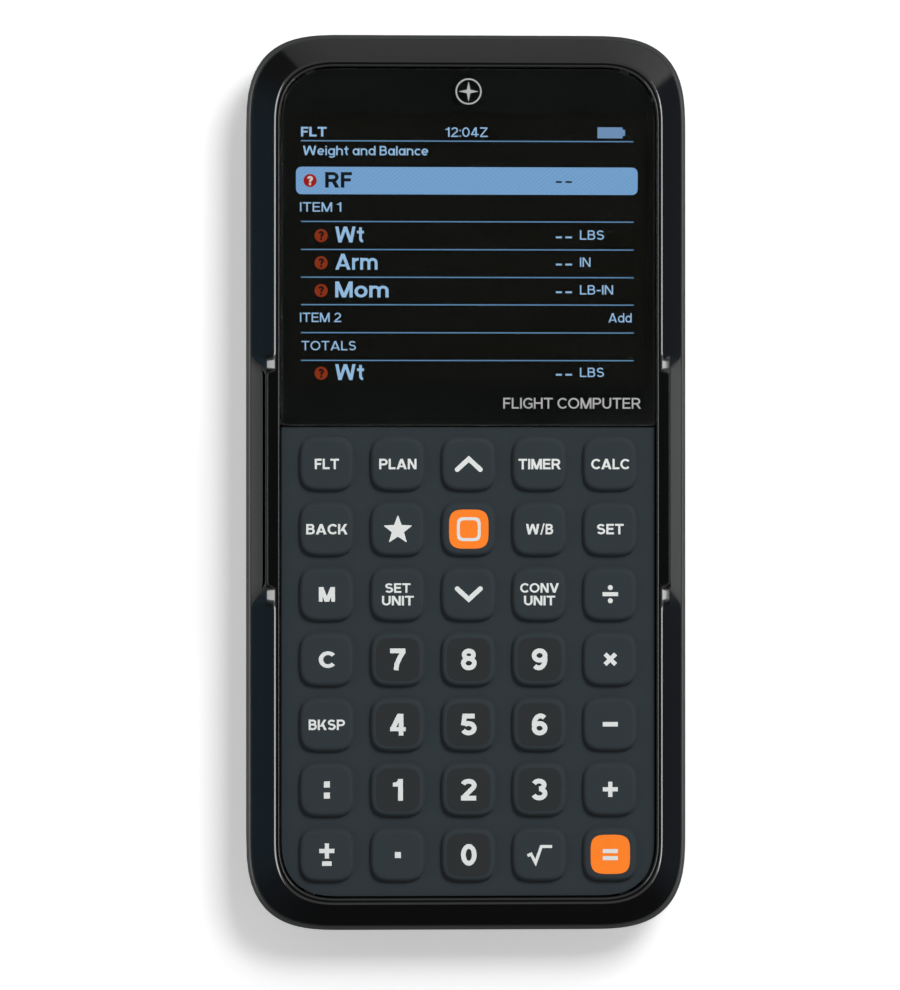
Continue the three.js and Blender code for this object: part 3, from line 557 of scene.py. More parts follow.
def merged_copy(node, name, whole_faces=True, sharp=30):
    """A CAD node's mesh with its loose triangles merged and, if asked, its flat faces made whole."""
    mesh, points = node_mesh(node)
    corners = np.empty(len(mesh.loops), np.int32)
    mesh.loops.foreach_get("vertex_index", corners)
    places, index = np.unique(np.round(points / (0.001 * MM)), axis=0, return_inverse=True)
    faces = index.reshape(-1)[corners].reshape(-1, 3)
    distinct = (faces != np.roll(faces, 1, axis=1)).all(axis=1)
    copy = make_mesh(name, places * 0.001 * MM, faces[distinct], sharp, outward=False)
    if whole_faces:
        shape = bmesh.new()
        shape.from_mesh(copy)
        bmesh.ops.dissolve_limit(
            shape, angle_limit=math.radians(0.6), verts=shape.verts, edges=shape.edges
        )
        shape.to_mesh(copy)
        shape.free()
        copy.set_sharp_from_angle(angle=math.radians(sharp))
    return copy


def finish_node(node, material, edge=0.0, body=HOUSING):
    """Stands a merged copy in for a CAD node, with its edges rounded by the given width."""
    name = node + "_finished"
    piece = put(name, merged_copy(node, name, edge > 0), [material], body, [node])
    if edge:
        bevel = piece.modifiers.new("edges", "BEVEL")
        bevel.width = edge
        bevel.segments = 2
        bevel.limit_method = "ANGLE"
        bevel.angle_limit = math.radians(35)
        bevel.harden_normals = True
    else:
        weighted = piece.modifiers.new("even shading", "WEIGHTED_NORMAL")
        weighted.keep_sharp = True


# ------------------------------------------------------------------------------------------------
# The outline and what is carried round it


def smooth(share):
    """An even climb from 0 to 1: 3 s^2 - 2 s^3, held at its ends."""
    share = np.clip(share, 0, 1)
    return share * share * (3 - 2 * share)


def stations(case, corner_steps=40, ramp_steps=26):
    """Places round the outline where a section is set: even steps of angle round each corner, and
    even steps along each ramp of the notches. Each has its corner's signs, the cosine and sine of
    its angle, its y where it lies on a long side and how deep the notch is there, from 0 to 1."""
    angle = np.linspace(0, math.pi / 2, corner_steps)
    low_end = case.notch_bottom - case.notch_bottom_ramp
    high_end = case.notch_top + case.notch_top_ramp
    rising = np.concatenate([
        np.linspace(low_end, case.notch_bottom, ramp_steps),
        np.linspace(case.notch_bottom, case.notch_top, 6)[1:-1],
        np.linspace(case.notch_top, high_end, ramp_steps),
    ])
    deep = smooth((rising - low_end) / case.notch_bottom_ramp)
    deep *= smooth((high_end - rising) / case.notch_top_ramp)
    straight = np.zeros(len(rising))
    no_side = np.full(corner_steps, np.nan)
    no_notch = np.zeros(corner_steps)
    rows = []
    for sign_x, sign_y, turn, along, depth in (
        (1, 1, straight, rising, deep),
        (1, 1, angle, no_side, no_notch),
        (-1, 1, angle[::-1], no_side, no_notch),
        (-1, 1, straight, rising[::-1], deep[::-1]),
        (-1, -1, angle, no_side, no_notch),
        (1, -1, angle[::-1], no_side, no_notch),
    ):
        signs = np.full(len(turn), sign_x), np.full(len(turn), sign_y)
        rows.append(np.stack([*signs, np.cos(turn), np.sin(turn), along, depth]))
    table = np.concatenate(rows, axis=1)
    names = ("sign_x", "sign_y", "cosine", "sine", "side_y", "depth")
    return SimpleNamespace(**dict(zip(names, table)))


def outline(case, inset, place):
    """The outline moved in by the inset. Each corner is a superellipse, x = reach cos^(2/p) and
    y = reach sin^(2/p), whose reach and power p change evenly from the outer edge to the opening."""
    half_x = CAD_BOX[1].x - inset
    share = inset / case.side_border
    half_y = CAD_BOX[1].y - share * case.end_border
    reach = case.corner_reach + share * (case.opening_reach - case.corner_reach)
    power = case.corner_power + share * (case.opening_power - case.corner_power)
    cosine = np.clip(place.cosine, 0, 1)
    sine = np.clip(place.sine, 0, 1)
    x = place.sign_x * (half_x - reach * (1 - cosine ** (2 / power)))
    y = place.sign_y * (half_y - reach * (1 - sine ** (2 / power)))
    return x, np.where(np.isnan(place.side_y), y, place.side_y)


def eased(corners, reaches, steps=ROUND_STEPS):
    """A closed section with rounded corners: near corner P it runs from A, that corner's reach before
    P, to B, the same reach after it, along (1-u)^2 A + 2u(1-u) P + u^2 B."""
    corners = np.array(corners, float) * MM
    reaches = np.array(reaches, float)[:, None] * MM
    before = np.roll(corners, 1, axis=0) - corners
    after = np.roll(corners, -1, axis=0) - corners
    start = corners + before / np.linalg.norm(before, axis=1)[:, None] * reaches
    end = corners + after / np.linalg.norm(after, axis=1)[:, None] * reaches
    u = np.linspace(0, 1, steps)[None, :, None]
    curve = (1 - u) ** 2 * start[:, None] + 2 * u * (1 - u) * corners[:, None] + u ** 2 * end[:, None]
    return curve.reshape(-1, 2)


def carried_round(case, full, notch, place, ramp=None, ramp_rows=None):
    """A closed section carried round the outline. Its points are inset and height, and they move
    evenly from the full section to the notch's own by the notch's depth at each station. Where a
    ramp section is given, its rows are pulled in over the middle of each ramp, by smooth(d / 0.3)
    times 1 - smooth((d - 0.75) / 0.25) at depth d."""
    inset = full[:, :1] + (notch[:, :1] - full[:, :1]) * place.depth
    height = full[:, 1:] + (notch[:, 1:] - full[:, 1:]) * place.depth
    if ramp is not None:
        pull = smooth(place.depth / 0.3) * (1 - smooth((place.depth - 0.75) / 0.25))
        pull = ramp_rows[:, None] * pull
        inset = inset + pull * (ramp[:, :1] - inset)
        height = height + pull * (ramp[:, 1:] - height)
    x, y = outline(case, inset, place)
    return np.stack([x, y, height], axis=-1)


def bezel_sections(case):
    """The bezel's section at a plain side, in a notch and part way down a ramp, worked out in
    millimetres of inset and height: upright foot, slope, bright facet, flat crest, inner edge and
    hidden lip. The ramp's facet is wide. Last comes which points the ramp has of its own."""
    crest = CAD_BOX[1].z / MM
    low = (case.rim_height + case.gap) / MM
    rim = case.rim_width / MM
    deep = case.notch_depth / MM
    rise = case.shoulder_rise / MM
    border = case.side_border / MM
    facet = case.crest_facet / MM
    crest_inset = 5.5
    under = low + 3.3
    foot = low - 1.8
    start = np.array([rim + 0.12, low + 0.5])
    end = np.array([crest_inset - facet, crest - 0.05 - FACET_RISE * facet])
    inner = [(border - 0.4, crest), (border, crest - 0.4), (border, under)]
    full = [
        (rim, low), start, start + 0.63 * (end - start), end, (crest_inset, crest - 0.05), *inner,
        (3.5, under), (3.5, foot), (2.3, foot), (2.3, low),
    ]
    notch = [
        (deep, low + rise), (deep + 0.05, low + rise + 0.5), (deep + 0.18, crest - 0.36),
        (deep + 0.5, crest - 0.05), (crest_inset, crest - 0.01), *inner,
        (4.7, under), (4.7, foot), (deep, foot), (deep, low + rise - 0.3),
    ]
    ramp = list(full)
    ramp[2:5] = [(3.7, crest - 1.04), (5.25, crest - 0.15), (crest_inset, crest - 0.04)]
    reaches = [0.08, 0.1, 0.07, 0.07, 0.1, 0.18, 0.18, 0.1, 0.1, 0.1, 0.1, 0.1]
    corner = np.arange(len(full))
    own = np.repeat((corner > 1) & (corner < 5), ROUND_STEPS)
    return eased(full, reaches), eased(notch, reaches), eased(ramp, reaches), own


def rim_section(case):
    """The back case's rim, in millimetres of inset and height: upright outside, a rounded edge, a
    facet tilted 28 degrees that catches the light, and a level shelf under the bezel's foot."""
    top = case.rim_height / MM + 0.02
    reach = case.rim_round / MM
    section = [
        (0.0, top - 0.5), (0.0, top - 0.3), (reach - 0.1, top - 0.2), (reach + 0.27, top),
        (1.0, top), (1.0, top - 0.3), (0.5, top - 0.5),
    ]
    return eased(section, [0.02, 0.18, 0.12, 0.03, 0.05, 0.05, 0.05])


def squircle(half_x, half_y, power):
    """A closed superellipse: x = a cos^(2/p), y = b sin^(2/p), with the signs of the two kept."""
    angle = (np.arange(RING_POINTS) + 0.5) / RING_POINTS * 2 * math.pi
    x = half_x * np.sign(np.cos(angle)) * np.abs(np.cos(angle)) ** (2 / power)
    y = half_y * np.sign(np.sin(angle)) * np.abs(np.sin(angle)) ** (2 / power)
    return np.stack([x, y], axis=-1)


def moved_in(loop, distance):
    """A closed loop moved in by a distance, square to its own direction."""
    along = np.roll(loop, -1, axis=0) - np.roll(loop, 1, axis=0)
    inward = np.stack([-along[:, 1], along[:, 0]], axis=-1)
    return loop + inward / np.linalg.norm(inward, axis=1)[:, None] * distance


def rounded_plate(name, loop, low, high, edge, steps=5):
    """A plate of the loop's outline, with its upper edge rounded: the outline moves in by
    e (1 - cos a) while the height gains e sin a, as a goes from 0 to a right angle. A ring just
    inside that edge keeps the flat face's shading flat."""
    angle = np.linspace(0, math.pi / 2, steps)
    insets = np.concatenate([[0.5 * edge, 0.0], edge * (1 - np.cos(angle)), [1.4 * edge]])
    heights = np.concatenate([[low, low], high - edge + edge * np.sin(angle), [high]])
    rings = np.stack([
        np.column_stack([moved_in(loop, inset), np.full(len(loop), height)])
        for inset, height in zip(insets, heights)
    ])
    middle = loop.mean(axis=0)
    return lofted(name, rings, (*middle, low), (*middle, high))


# ------------------------------------------------------------------------------------------------
# Flat marks: lettering and signs, each an array of points and a list of faces


def shifted(mark, x, y):
    """A mark moved by x and y."""
    return mark[0] + [x, y, 0], mark[1]


def centred(mark, x=0.0, y=0.0):
    """A mark with the middle of its box moved to x, y."""
    middle = (mark[0].min(axis=0) + mark[0].max(axis=0)) / 2
    return shifted(mark, x - middle[0], y - middle[1])


def together(marks, lift=0.0):
    """Several marks as one. Each may lie a lift higher than the one before, where they cross."""
    starts = np.cumsum([0] + [len(points) for points, _ in marks])
    points = np.concatenate([own + [0, 0, lift * i] for i, (own, _) in enumerate(marks)])
    faces = [
        tuple(int(i + start) for i in face) for (_, own), start in zip(marks, starts) for face in own
    ]
    return points, faces


def level_points(points):
    """Points across as points in space, at no height."""
    points = np.array(points, float)
    return np.column_stack([points, np.zeros(len(points))])


def polygon(points):
    """A filled outline."""
    return level_points(points), [tuple(range(len(points)))]


def bar(x0, x1, y0, y1):
    """A filled rectangle."""
    return polygon([(x0, y0), (x1, y0), (x1, y1), (x0, y1)])


def arc(x, y, reach_x, reach_y, first, last, steps=15):
    """Points along an ellipse between two angles in degrees."""
    angle = np.radians(np.linspace(first, last, steps))
    return np.stack([x + reach_x * np.cos(angle), y + reach_y * np.sin(angle)], axis=-1)


def rounded_bar(x0, x1, y0, y1, radius):
    """A filled rectangle with round corners."""
    corners = (
        (x1 - radius, y1 - radius, 0), (x0 + radius, y1 - radius, 90),
        (x0 + radius, y0 + radius, 180), (x1 - radius, y0 + radius, 270),
    )
    return polygon(np.vstack([
        arc(x, y, radius, radius, first, first + 90, 7) for x, y, first in corners
    ]))


def disc(x, y, radius):
    """A filled circle."""
    return polygon(arc(x, y, radius, radius, 0, 350, 36))


def hoop(outer, inner):
    """The band between two closed loops with the same number of points."""
    faces = [tuple(face) for face in grid_faces(2, len(outer))[:, ::-1]]
    return level_points(np.concatenate([outer, inner])), faces


def stroke(points, width):
    """A line of even width with mitred bends: each point moves out along the sum of its two
    neighbouring normals, over one plus their dot product."""
    points = np.array(points, float)
    along = np.diff(points, axis=0)
    along /= np.linalg.norm(along, axis=1)[:, None]
    normal = np.stack([-along[:, 1], along[:, 0]], axis=-1)
    first = np.vstack([normal[:1], normal])
    second = np.vstack([normal, normal[-1:]])
    mitre = (first + second) / (1 + (first * second).sum(axis=1))[:, None]
    count = len(points)
    sides = np.vstack([points - mitre * width / 2, points + mitre * width / 2])
    faces = [(i, i + 1, count + i + 1, count + i) for i in range(count - 1)]
    return level_points(sides), faces


def star(radius):
    """A five-pointed star with blunt tips, whose inner points lie at 0.42 of its radius."""
    angle = math.pi / 2 + np.arange(10) * math.pi / 5
    reach = np.where(np.arange(10) % 2 == 0, radius, 0.42 * radius)
    corners = np.stack([reach * np.cos(angle), reach * np.sin(angle)], axis=-1)
    return polygon(eased(corners, [0.3, 0.1] * 5, 4) / MM)


def letter_shapes(w):
    """A plain upright alphabet drawn with lines of width w, for a capital height of 1. Each letter
    is a list of marks."""
    h = w / 2
    top = 1 - h
    small = SMALL_LETTER - h
    cut = 1.2 * w

    def line(*parts):
        """A line through points and arcs in turn."""
        return stroke(np.vstack([np.atleast_2d(part) for part in parts]), w)

    def post(x, height=1.0):
        """An upright whose middle is at x."""
        return bar(x - h, x + h, 0, height)

    def slant(x0, x1, y0=0.0, y1=1.0):
        """A slanting line cut level at both ends, with its left edge at x0 below and x1 above."""
        return polygon([(x0, y0), (x0 + cut, y0), (x1 + cut, y1), (x1, y1)])

    def ring(x, y, reach_x, reach_y):
        """A closed round."""
        outer = arc(x, y, reach_x + h, reach_y + h, 0, 350, 36)
        return hoop(outer, arc(x, y, reach_x - h, reach_y - h, 0, 350, 36))

    def arch(x0, x1):
        """A small letter's shoulder from one leg to the next."""
        reach = (x1 - x0) / 2
        return line(arc(x0 + reach, small - 0.22, reach, 0.22, 170, 0), (x1, 0))

    six = [ring(0.36, 0.32, 0.25, 0.22), line(arc(0.40, 0.50, 0.29, 0.5 - h, 50, 190))]
    nine = [(np.array([0.72, 1, 0]) - points * [1, 1, -1], faces) for points, faces in six]
    open_round = line(arc(0.46, 0.5, 0.46 - h, 0.5 - h, 40, 320, 24))
    upper_bowl = line(
        (w, top), arc(0.42, (top + 0.46) / 2, 0.24, (top - 0.46) / 2, 90, -90), (w, 0.46)
    )
    return {
        "A": [
            slant(0, 0.46 - cut / 2), slant(0.92 - cut, 0.46 - cut / 2),
            bar(0.18, 0.74, 0.2, 0.2 + w * 0.8),
        ],
        "B": [
            post(h),
            line((w, top), arc(0.4, (top + 0.53) / 2, 0.19, (top - 0.53) / 2, 90, -90), (w, 0.53)),
            line((w, 0.53), arc(0.42, (0.53 + h) / 2, 0.22, (0.53 - h) / 2, 90, -90), (w, h)),
        ],
        "C": [open_round],
        "E": [line((0.66, top), (h, top), (h, h), (0.68, h)), bar(w, 0.62, 0.52 - h, 0.52 + h)],
        "F": [line((h, 0), (h, top), (0.62, top)), bar(w, 0.56, 0.5 - h, 0.5 + h)],
        "G": [open_round, line((0.48, 0.45), (0.82 - h, 0.45), (0.82 - h, 0.1))],
        "H": [post(h), post(0.76 - h), bar(w, 0.76 - w, 0.52 - h, 0.52 + h)],
        "I": [post(h)],
        "K": [post(h), slant(0.9 * w, 0.78 - cut, 0.32), slant(0.82 - cut, 0.30, 0, 0.62)],
        "L": [line((h, 1), (h, h), (0.61, h))],
        "M": [post(h), post(0.94 - h), slant(0.47 - cut / 2, 0), slant(0.47 - cut / 2, 0.94 - cut)],
        "N": [post(h), post(0.78 - h), slant(0.78 - cut, 0)],
        "O": [ring(0.48, 0.5, 0.48 - h, 0.5 - h)],
        "P": [post(h), upper_bowl],
        "R": [post(h), upper_bowl, slant(0.8 - cut, 0.34, 0, 0.46)],
        "S": [line(
            arc(0.36, (top + 0.52) / 2, 0.26, (top - 0.52) / 2, 25, 270),
            arc(0.36, (0.52 + h) / 2, 0.28, (0.52 - h) / 2, 90, -155)[1:],
        )],
        "T": [bar(0, 0.76, 1 - w, 1), post(0.38, 1 - w)],
        "U": [line((h, 1), arc(0.38, 0.38, 0.38 - h, 0.38 - h, 180, 360), (0.76 - h, 1))],
        "V": [slant(0.45 - cut / 2, 0), slant(0.45 - cut / 2, 0.9 - cut)],
        "W": [
            slant(0.2, 0), slant(0.2, 0.65 - cut / 2), slant(1.1 - cut, 0.65 - cut / 2),
            slant(1.1 - cut, 1.3 - cut),
        ],
        "Z": [bar(0, 0.7, 1 - w, 1), bar(0, 0.72, 0, w), slant(0, 0.7 - cut, w, 1 - w)],
        "a": [ring(0.32, 0.37, 0.32 - h, 0.37 - h), post(0.6, SMALL_LETTER)],
        "c": [line(arc(0.34, 0.37, 0.34 - h, 0.37 - h, 45, 315))],
        "d": [ring(0.34, 0.37, 0.34 - h, 0.37 - h), post(0.62)],
        "e": [line(arc(0.34, 0.37, 0.34 - h, 0.37 - h, 0, 315)), bar(w, 0.68 - h, 0.36 - h, 0.36 + h)],
        "g": [
            ring(0.34, 0.37, 0.34 - h, 0.37 - h),
            line((0.62, SMALL_LETTER), (0.62, 0), arc(0.36, -0.04, 0.26, 0.16, 0, -150)),
        ],
        "h": [post(h), arch(h, 0.66 - h)],
        "i": [post(h, SMALL_LETTER), bar(0, w, 1 - w, 1)],
        "l": [post(h)],
        "m": [post(h, SMALL_LETTER), arch(h, 0.52), arch(0.52, 1.04 - h)],
        "n": [post(h, SMALL_LETTER), arch(h, 0.66 - h)],
        "o": [ring(0.35, 0.37, 0.35 - h, 0.37 - h)],
        "r": [post(h, SMALL_LETTER), line(arc(0.38, small - 0.2, 0.38 - h, 0.2, 170, 88))],
        "t": [
            line((0.22, 0.95), arc(0.37, 0.16 + h, 0.15, 0.16, 180, 275)),
            bar(0, 0.44, SMALL_LETTER - w, SMALL_LETTER),
        ],
        "0": [ring(0.36, 0.5, 0.36 - h, 0.5 - h)],
        "1": [
            bar(0.26, 0.26 + 1.1 * w, 0, 1),
            polygon([(0, 0.84 - 0.85 * w), (0.27, 0.84 - 0.85 * w), (0.27, 1), (0.2, 0.87), (0, 0.82)]),
        ],
        "2": [line(arc(0.36, 0.7, 0.26, 0.3 - h, 165, -35), (0.14, 0.16)), bar(0.01, 0.71, 0, w)],
        "3": [
            line(arc(0.34, (top + 0.53) / 2, 0.24, (top - 0.53) / 2, 160, -90)),
            line(arc(0.35, (0.53 + h) / 2, 0.27, (0.53 - h) / 2, 90, -160)),
        ],
        "4": [
            bar(0.42, 0.42 + 1.05 * w, 0, 1), bar(0, 0.76, 0.2, 0.2 + 0.85 * w),
            slant(0, 0.42 + 0.9 * w - cut, 0.2 + 0.5 * w),
        ],
        "5": [
            line((0.65, top), (0.18, top), (0.12, 0.46)),
            line(arc(0.36, 0.22 + h, 0.27, 0.22, 128, -155)),
        ],
        "6": six,
        "7": [bar(0, 0.7, 1 - w, 1), line((0.62, 0.88), (0.44, 0.58), (0.31, 0.28), (0.27, 0))],
        "8": [
            ring(0.36, (top + 0.54) / 2, 0.22, (top - 0.54) / 2),
            ring(0.36, (0.54 + h) / 2, 0.26, (0.54 - h) / 2),
        ],
        "9": nine,
        "/": [polygon([(0, -0.05), (0.14, -0.05), (0.44, 1.05), (0.3, 1.05)])],
        "-": [bar(0, 0.4, 0.36, 0.36 + w)],
        ":": [bar(0, w, 0.02, 0.02 + w), bar(0, w, 0.6, 0.6 + w)],
        "?": [
            line(arc(0.31, 0.72, 0.21, 0.28 - h, 180, -70), (0.31, 0.32)),
            bar(0.31 - h, 0.31 + h, 0, w),
        ],
    }


def lettering(text, height, width=None, weight=0.2):
    """A word with its baseline's left end at the origin. Its lines are the weight times its capital
    height wide, and the word is drawn in or out to the width."""
    shapes = letter_shapes(weight)
    letters = []
    along = 0.0
    for character in text:
        if character == " ":
            along += 0.3
            continue
        mark = together(shapes[character], 0.004)
        letters.append(shifted(mark, along, 0))
        along += mark[0][:, 0].max() + 0.2 - 0.6 * weight
    points, faces = together(letters)
    stretch = width / np.ptp(points[:, 0]) if width else height
    return points * [stretch, height, 1], faces


def put_marks(name, mark, height, material, body, thickness=0.02 * MM):
    """Lays a mark on a level surface as a film of ink, in millimetres across and metres up."""
    points = mark[0] * MM + [0, 0, height]
    mesh = make_mesh(name, points, mark[1], sharp=0, outward=False)
    return thicken(put(name, mesh, [material], body), thickness)


# ------------------------------------------------------------------------------------------------
# Operators


class BuildBackCase(bpy.types.Operator):
    """Build the back case, battery door, feet and screws"""

    bl_idname = "flight_computer.back_case"
    bl_label = "Back case and door"

    def execute(self, context):
        case = context.scene.flight_computer_case
        grained = grained_abs(case.case_colour)
        finish_node("back_case", grained)
        section = rim_section(case)
        points = carried_round(case, section, section, stations(case))
        faces = grid_faces(*points.shape[:2], close_rows=True)
        rim = make_mesh("rim_bead", points.reshape(-1, 3), faces, sharp=50)
        # The same ABS, wiped smooth and satin where the tool was polished along the parting line, in a
        # darker copy of the case grey: the darkness is painted shade on the rim.
        satin = polymer("satin_abs_rim_shaded", case.shaded_rim_colour, 0.34, 0.35 * MM, 0.006 * MM, IOR=1.54)
        put("rim_bead", rim, [satin], HOUSING)
        finish_node("battery_door", grained, 0.15 * MM, "battery_door")
        # Cast rubber feet: dead matt with a coarse open grain.
        rubber = polymer("cast_foot_rubber", case.foot_colour, 0.8, 0.5 * MM, 0.03 * MM)
        for side in ("left", "right"):
            finish_node("foot_" + side, rubber, 0.2 * MM)
        # Zinc-plated steel screws: bright with turned rings.
        zinc = plated_metal("zinc_plated_steel", linear("B7B9BC"), 0.3, 0.2 * MM, (1, 1, 4))
        for index in range(1, 5):
            finish_node("case_screw_%d" % index, zinc, 0.08 * MM)
        return {"FINISHED"}


class BuildBezel(bpy.types.Operator):
    """Build the glossy front bezel with its grip notches"""

    bl_idname = "flight_computer.bezel"
    bl_label = "Front bezel"

    def execute(self, context):
        case = context.scene.flight_computer_case
        full, notch, ramp, own = bezel_sections(case)
        points = carried_round(case, full, notch, stations(case), ramp, own)
        faces = grid_faces(*points.shape[:2], close_rows=True)
        mesh = make_mesh("front_bezel_shell", points.reshape(-1, 3), faces, sharp=60)
        material = gloss_abs(case.bezel_colour)
        put("front_bezel_shell", mesh, [material], HOUSING, ["front_bezel"])
        return {"FINISHED"}


def window_loop(case, inset):
    """The display window's outline: the opening's upper part down to the seam with the keypad, with
    its two lower corners rounded."""
    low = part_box("display_window")[0]
    place = stations(case)
    upper = np.isnan(place.side_y) & (place.sign_y > 0)
    part = SimpleNamespace(**{name: values[upper] for name, values in vars(place).items()})
    x, y = outline(case, np.full(upper.sum(), inset), part)
    radius = 0.5 * MM
    angle = np.linspace(0, math.pi / 2, 6)
    left = x.min()
    corner_x = left + radius * (1 - np.cos(angle))
    corner_y = low.y + radius * (1 - np.sin(angle))
    xs = np.concatenate([x, corner_x, -corner_x[::-1]])
    ys = np.concatenate([y, corner_y, corner_y[::-1]])
    return np.stack([xs, ys], axis=-1)


def seen_from(loop, middle, angle):
    """Where rays from the middle at the given angles cross a loop, by even steps between points."""
    away = loop - middle
    bearing = np.arctan2(away[:, 1], away[:, 0])
    order = np.argsort(bearing)
    turn = np.linspace(0, 1, 41)[:-1]
    ordered = away[order]
    onward = np.roll(ordered, -1, axis=0) - ordered
    dense = ordered[:, None] + onward[:, None] * turn[None, :, None]
    dense = dense.reshape(-1, 2)
    bearing = np.arctan2(dense[:, 1], dense[:, 0])
    order = np.argsort(bearing)
    radius = np.linalg.norm(dense, axis=1)[order]
    reach = np.interp(angle, bearing[order], radius, period=2 * math.pi)
    return middle + np.stack([np.cos(angle), np.sin(angle)], axis=-1) * reach[:, None]


def lit_middle(case, screen):
    """The middle of the lit area."""
    top = CAD_BOX[1].y - case.end_border - screen.lit_top_margin
    return np.array([0.0, top - screen.lit_length / 2])


class BuildWindow(bpy.types.Operator):
    """Build the clear window and the black print on its back"""

    bl_idname = "flight_computer.window"
    bl_label = "Display window"

    def execute(self, context):
        case = context.scene.flight_computer_case
        screen = context.scene.flight_computer_screen
        low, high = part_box("display_window")
        loop = window_loop(case, case.side_border + case.gap)
        mesh = rounded_plate("window_lens", loop, low.z, high.z, 0.3 * MM)
        put("window_lens", mesh, [cast_acrylic()], HOUSING, ["display_window"])

        middle = lit_middle(case, screen)
        half_x = screen.lit_width / 2 + screen.lit_border
        half_y = screen.lit_length / 2 + screen.lit_border
        corner = math.atan2(half_y, half_x)
        angle = np.sort(np.concatenate([
            np.linspace(-math.pi, math.pi, 240, endpoint=False),
            [corner, -corner, math.pi - corner, corner - math.pi],
        ]))
        outer = seen_from(moved_in(loop, 0.05 * MM), middle, angle)
        wide = np.abs(np.cos(angle)) * half_y > np.abs(np.sin(angle)) * half_x
        across = half_x / np.maximum(np.abs(np.cos(angle)), 1e-6)
        upward = half_y / np.maximum(np.abs(np.sin(angle)), 1e-6)
        reach = np.where(wide, across, upward)
        inner = middle + np.stack([np.cos(angle), np.sin(angle)], axis=-1) * reach[:, None]
        print_level = low.z - 0.02 * MM
        black = screen_ink("black_back_print", linear("0B0C0C"), 0.4, Specular_IOR_Level=0.1)
        ring = hoop(outer / MM, inner / MM)
        put_marks("window_print", ring, print_level, black, HOUSING, 0.1 * MM)

        ink = screen_ink("grey_front_print", linear("BDBDBD"))
        top = high.z + 0.012 * MM
        words = centred(lettering("FLIGHT COMPUTER", 2.15, 27.4, 0.14), 20.6, 15.7)
        put_marks("window_words", words, top, ink, HOUSING)
        put_marks("window_emblem", compass_rose(0.0, 77.5), top, ink, HOUSING)
        return {"FINISHED"}


def compass_rose(x, y):
    """A plain four-pointed compass rose in a thin ring."""
    outer = squircle(2.6, 2.6, 2)
    inner = squircle(2.3, 2.3, 2)
    angle = np.arange(8) * math.pi / 4 + math.pi / 2
    reach = np.where(np.arange(8) % 2 == 0, 2.0, 0.5)
    rose = polygon(np.stack([reach * np.cos(angle), reach * np.sin(angle)], axis=-1))
    return shifted(together([hoop(outer, inner), rose]), x, y)


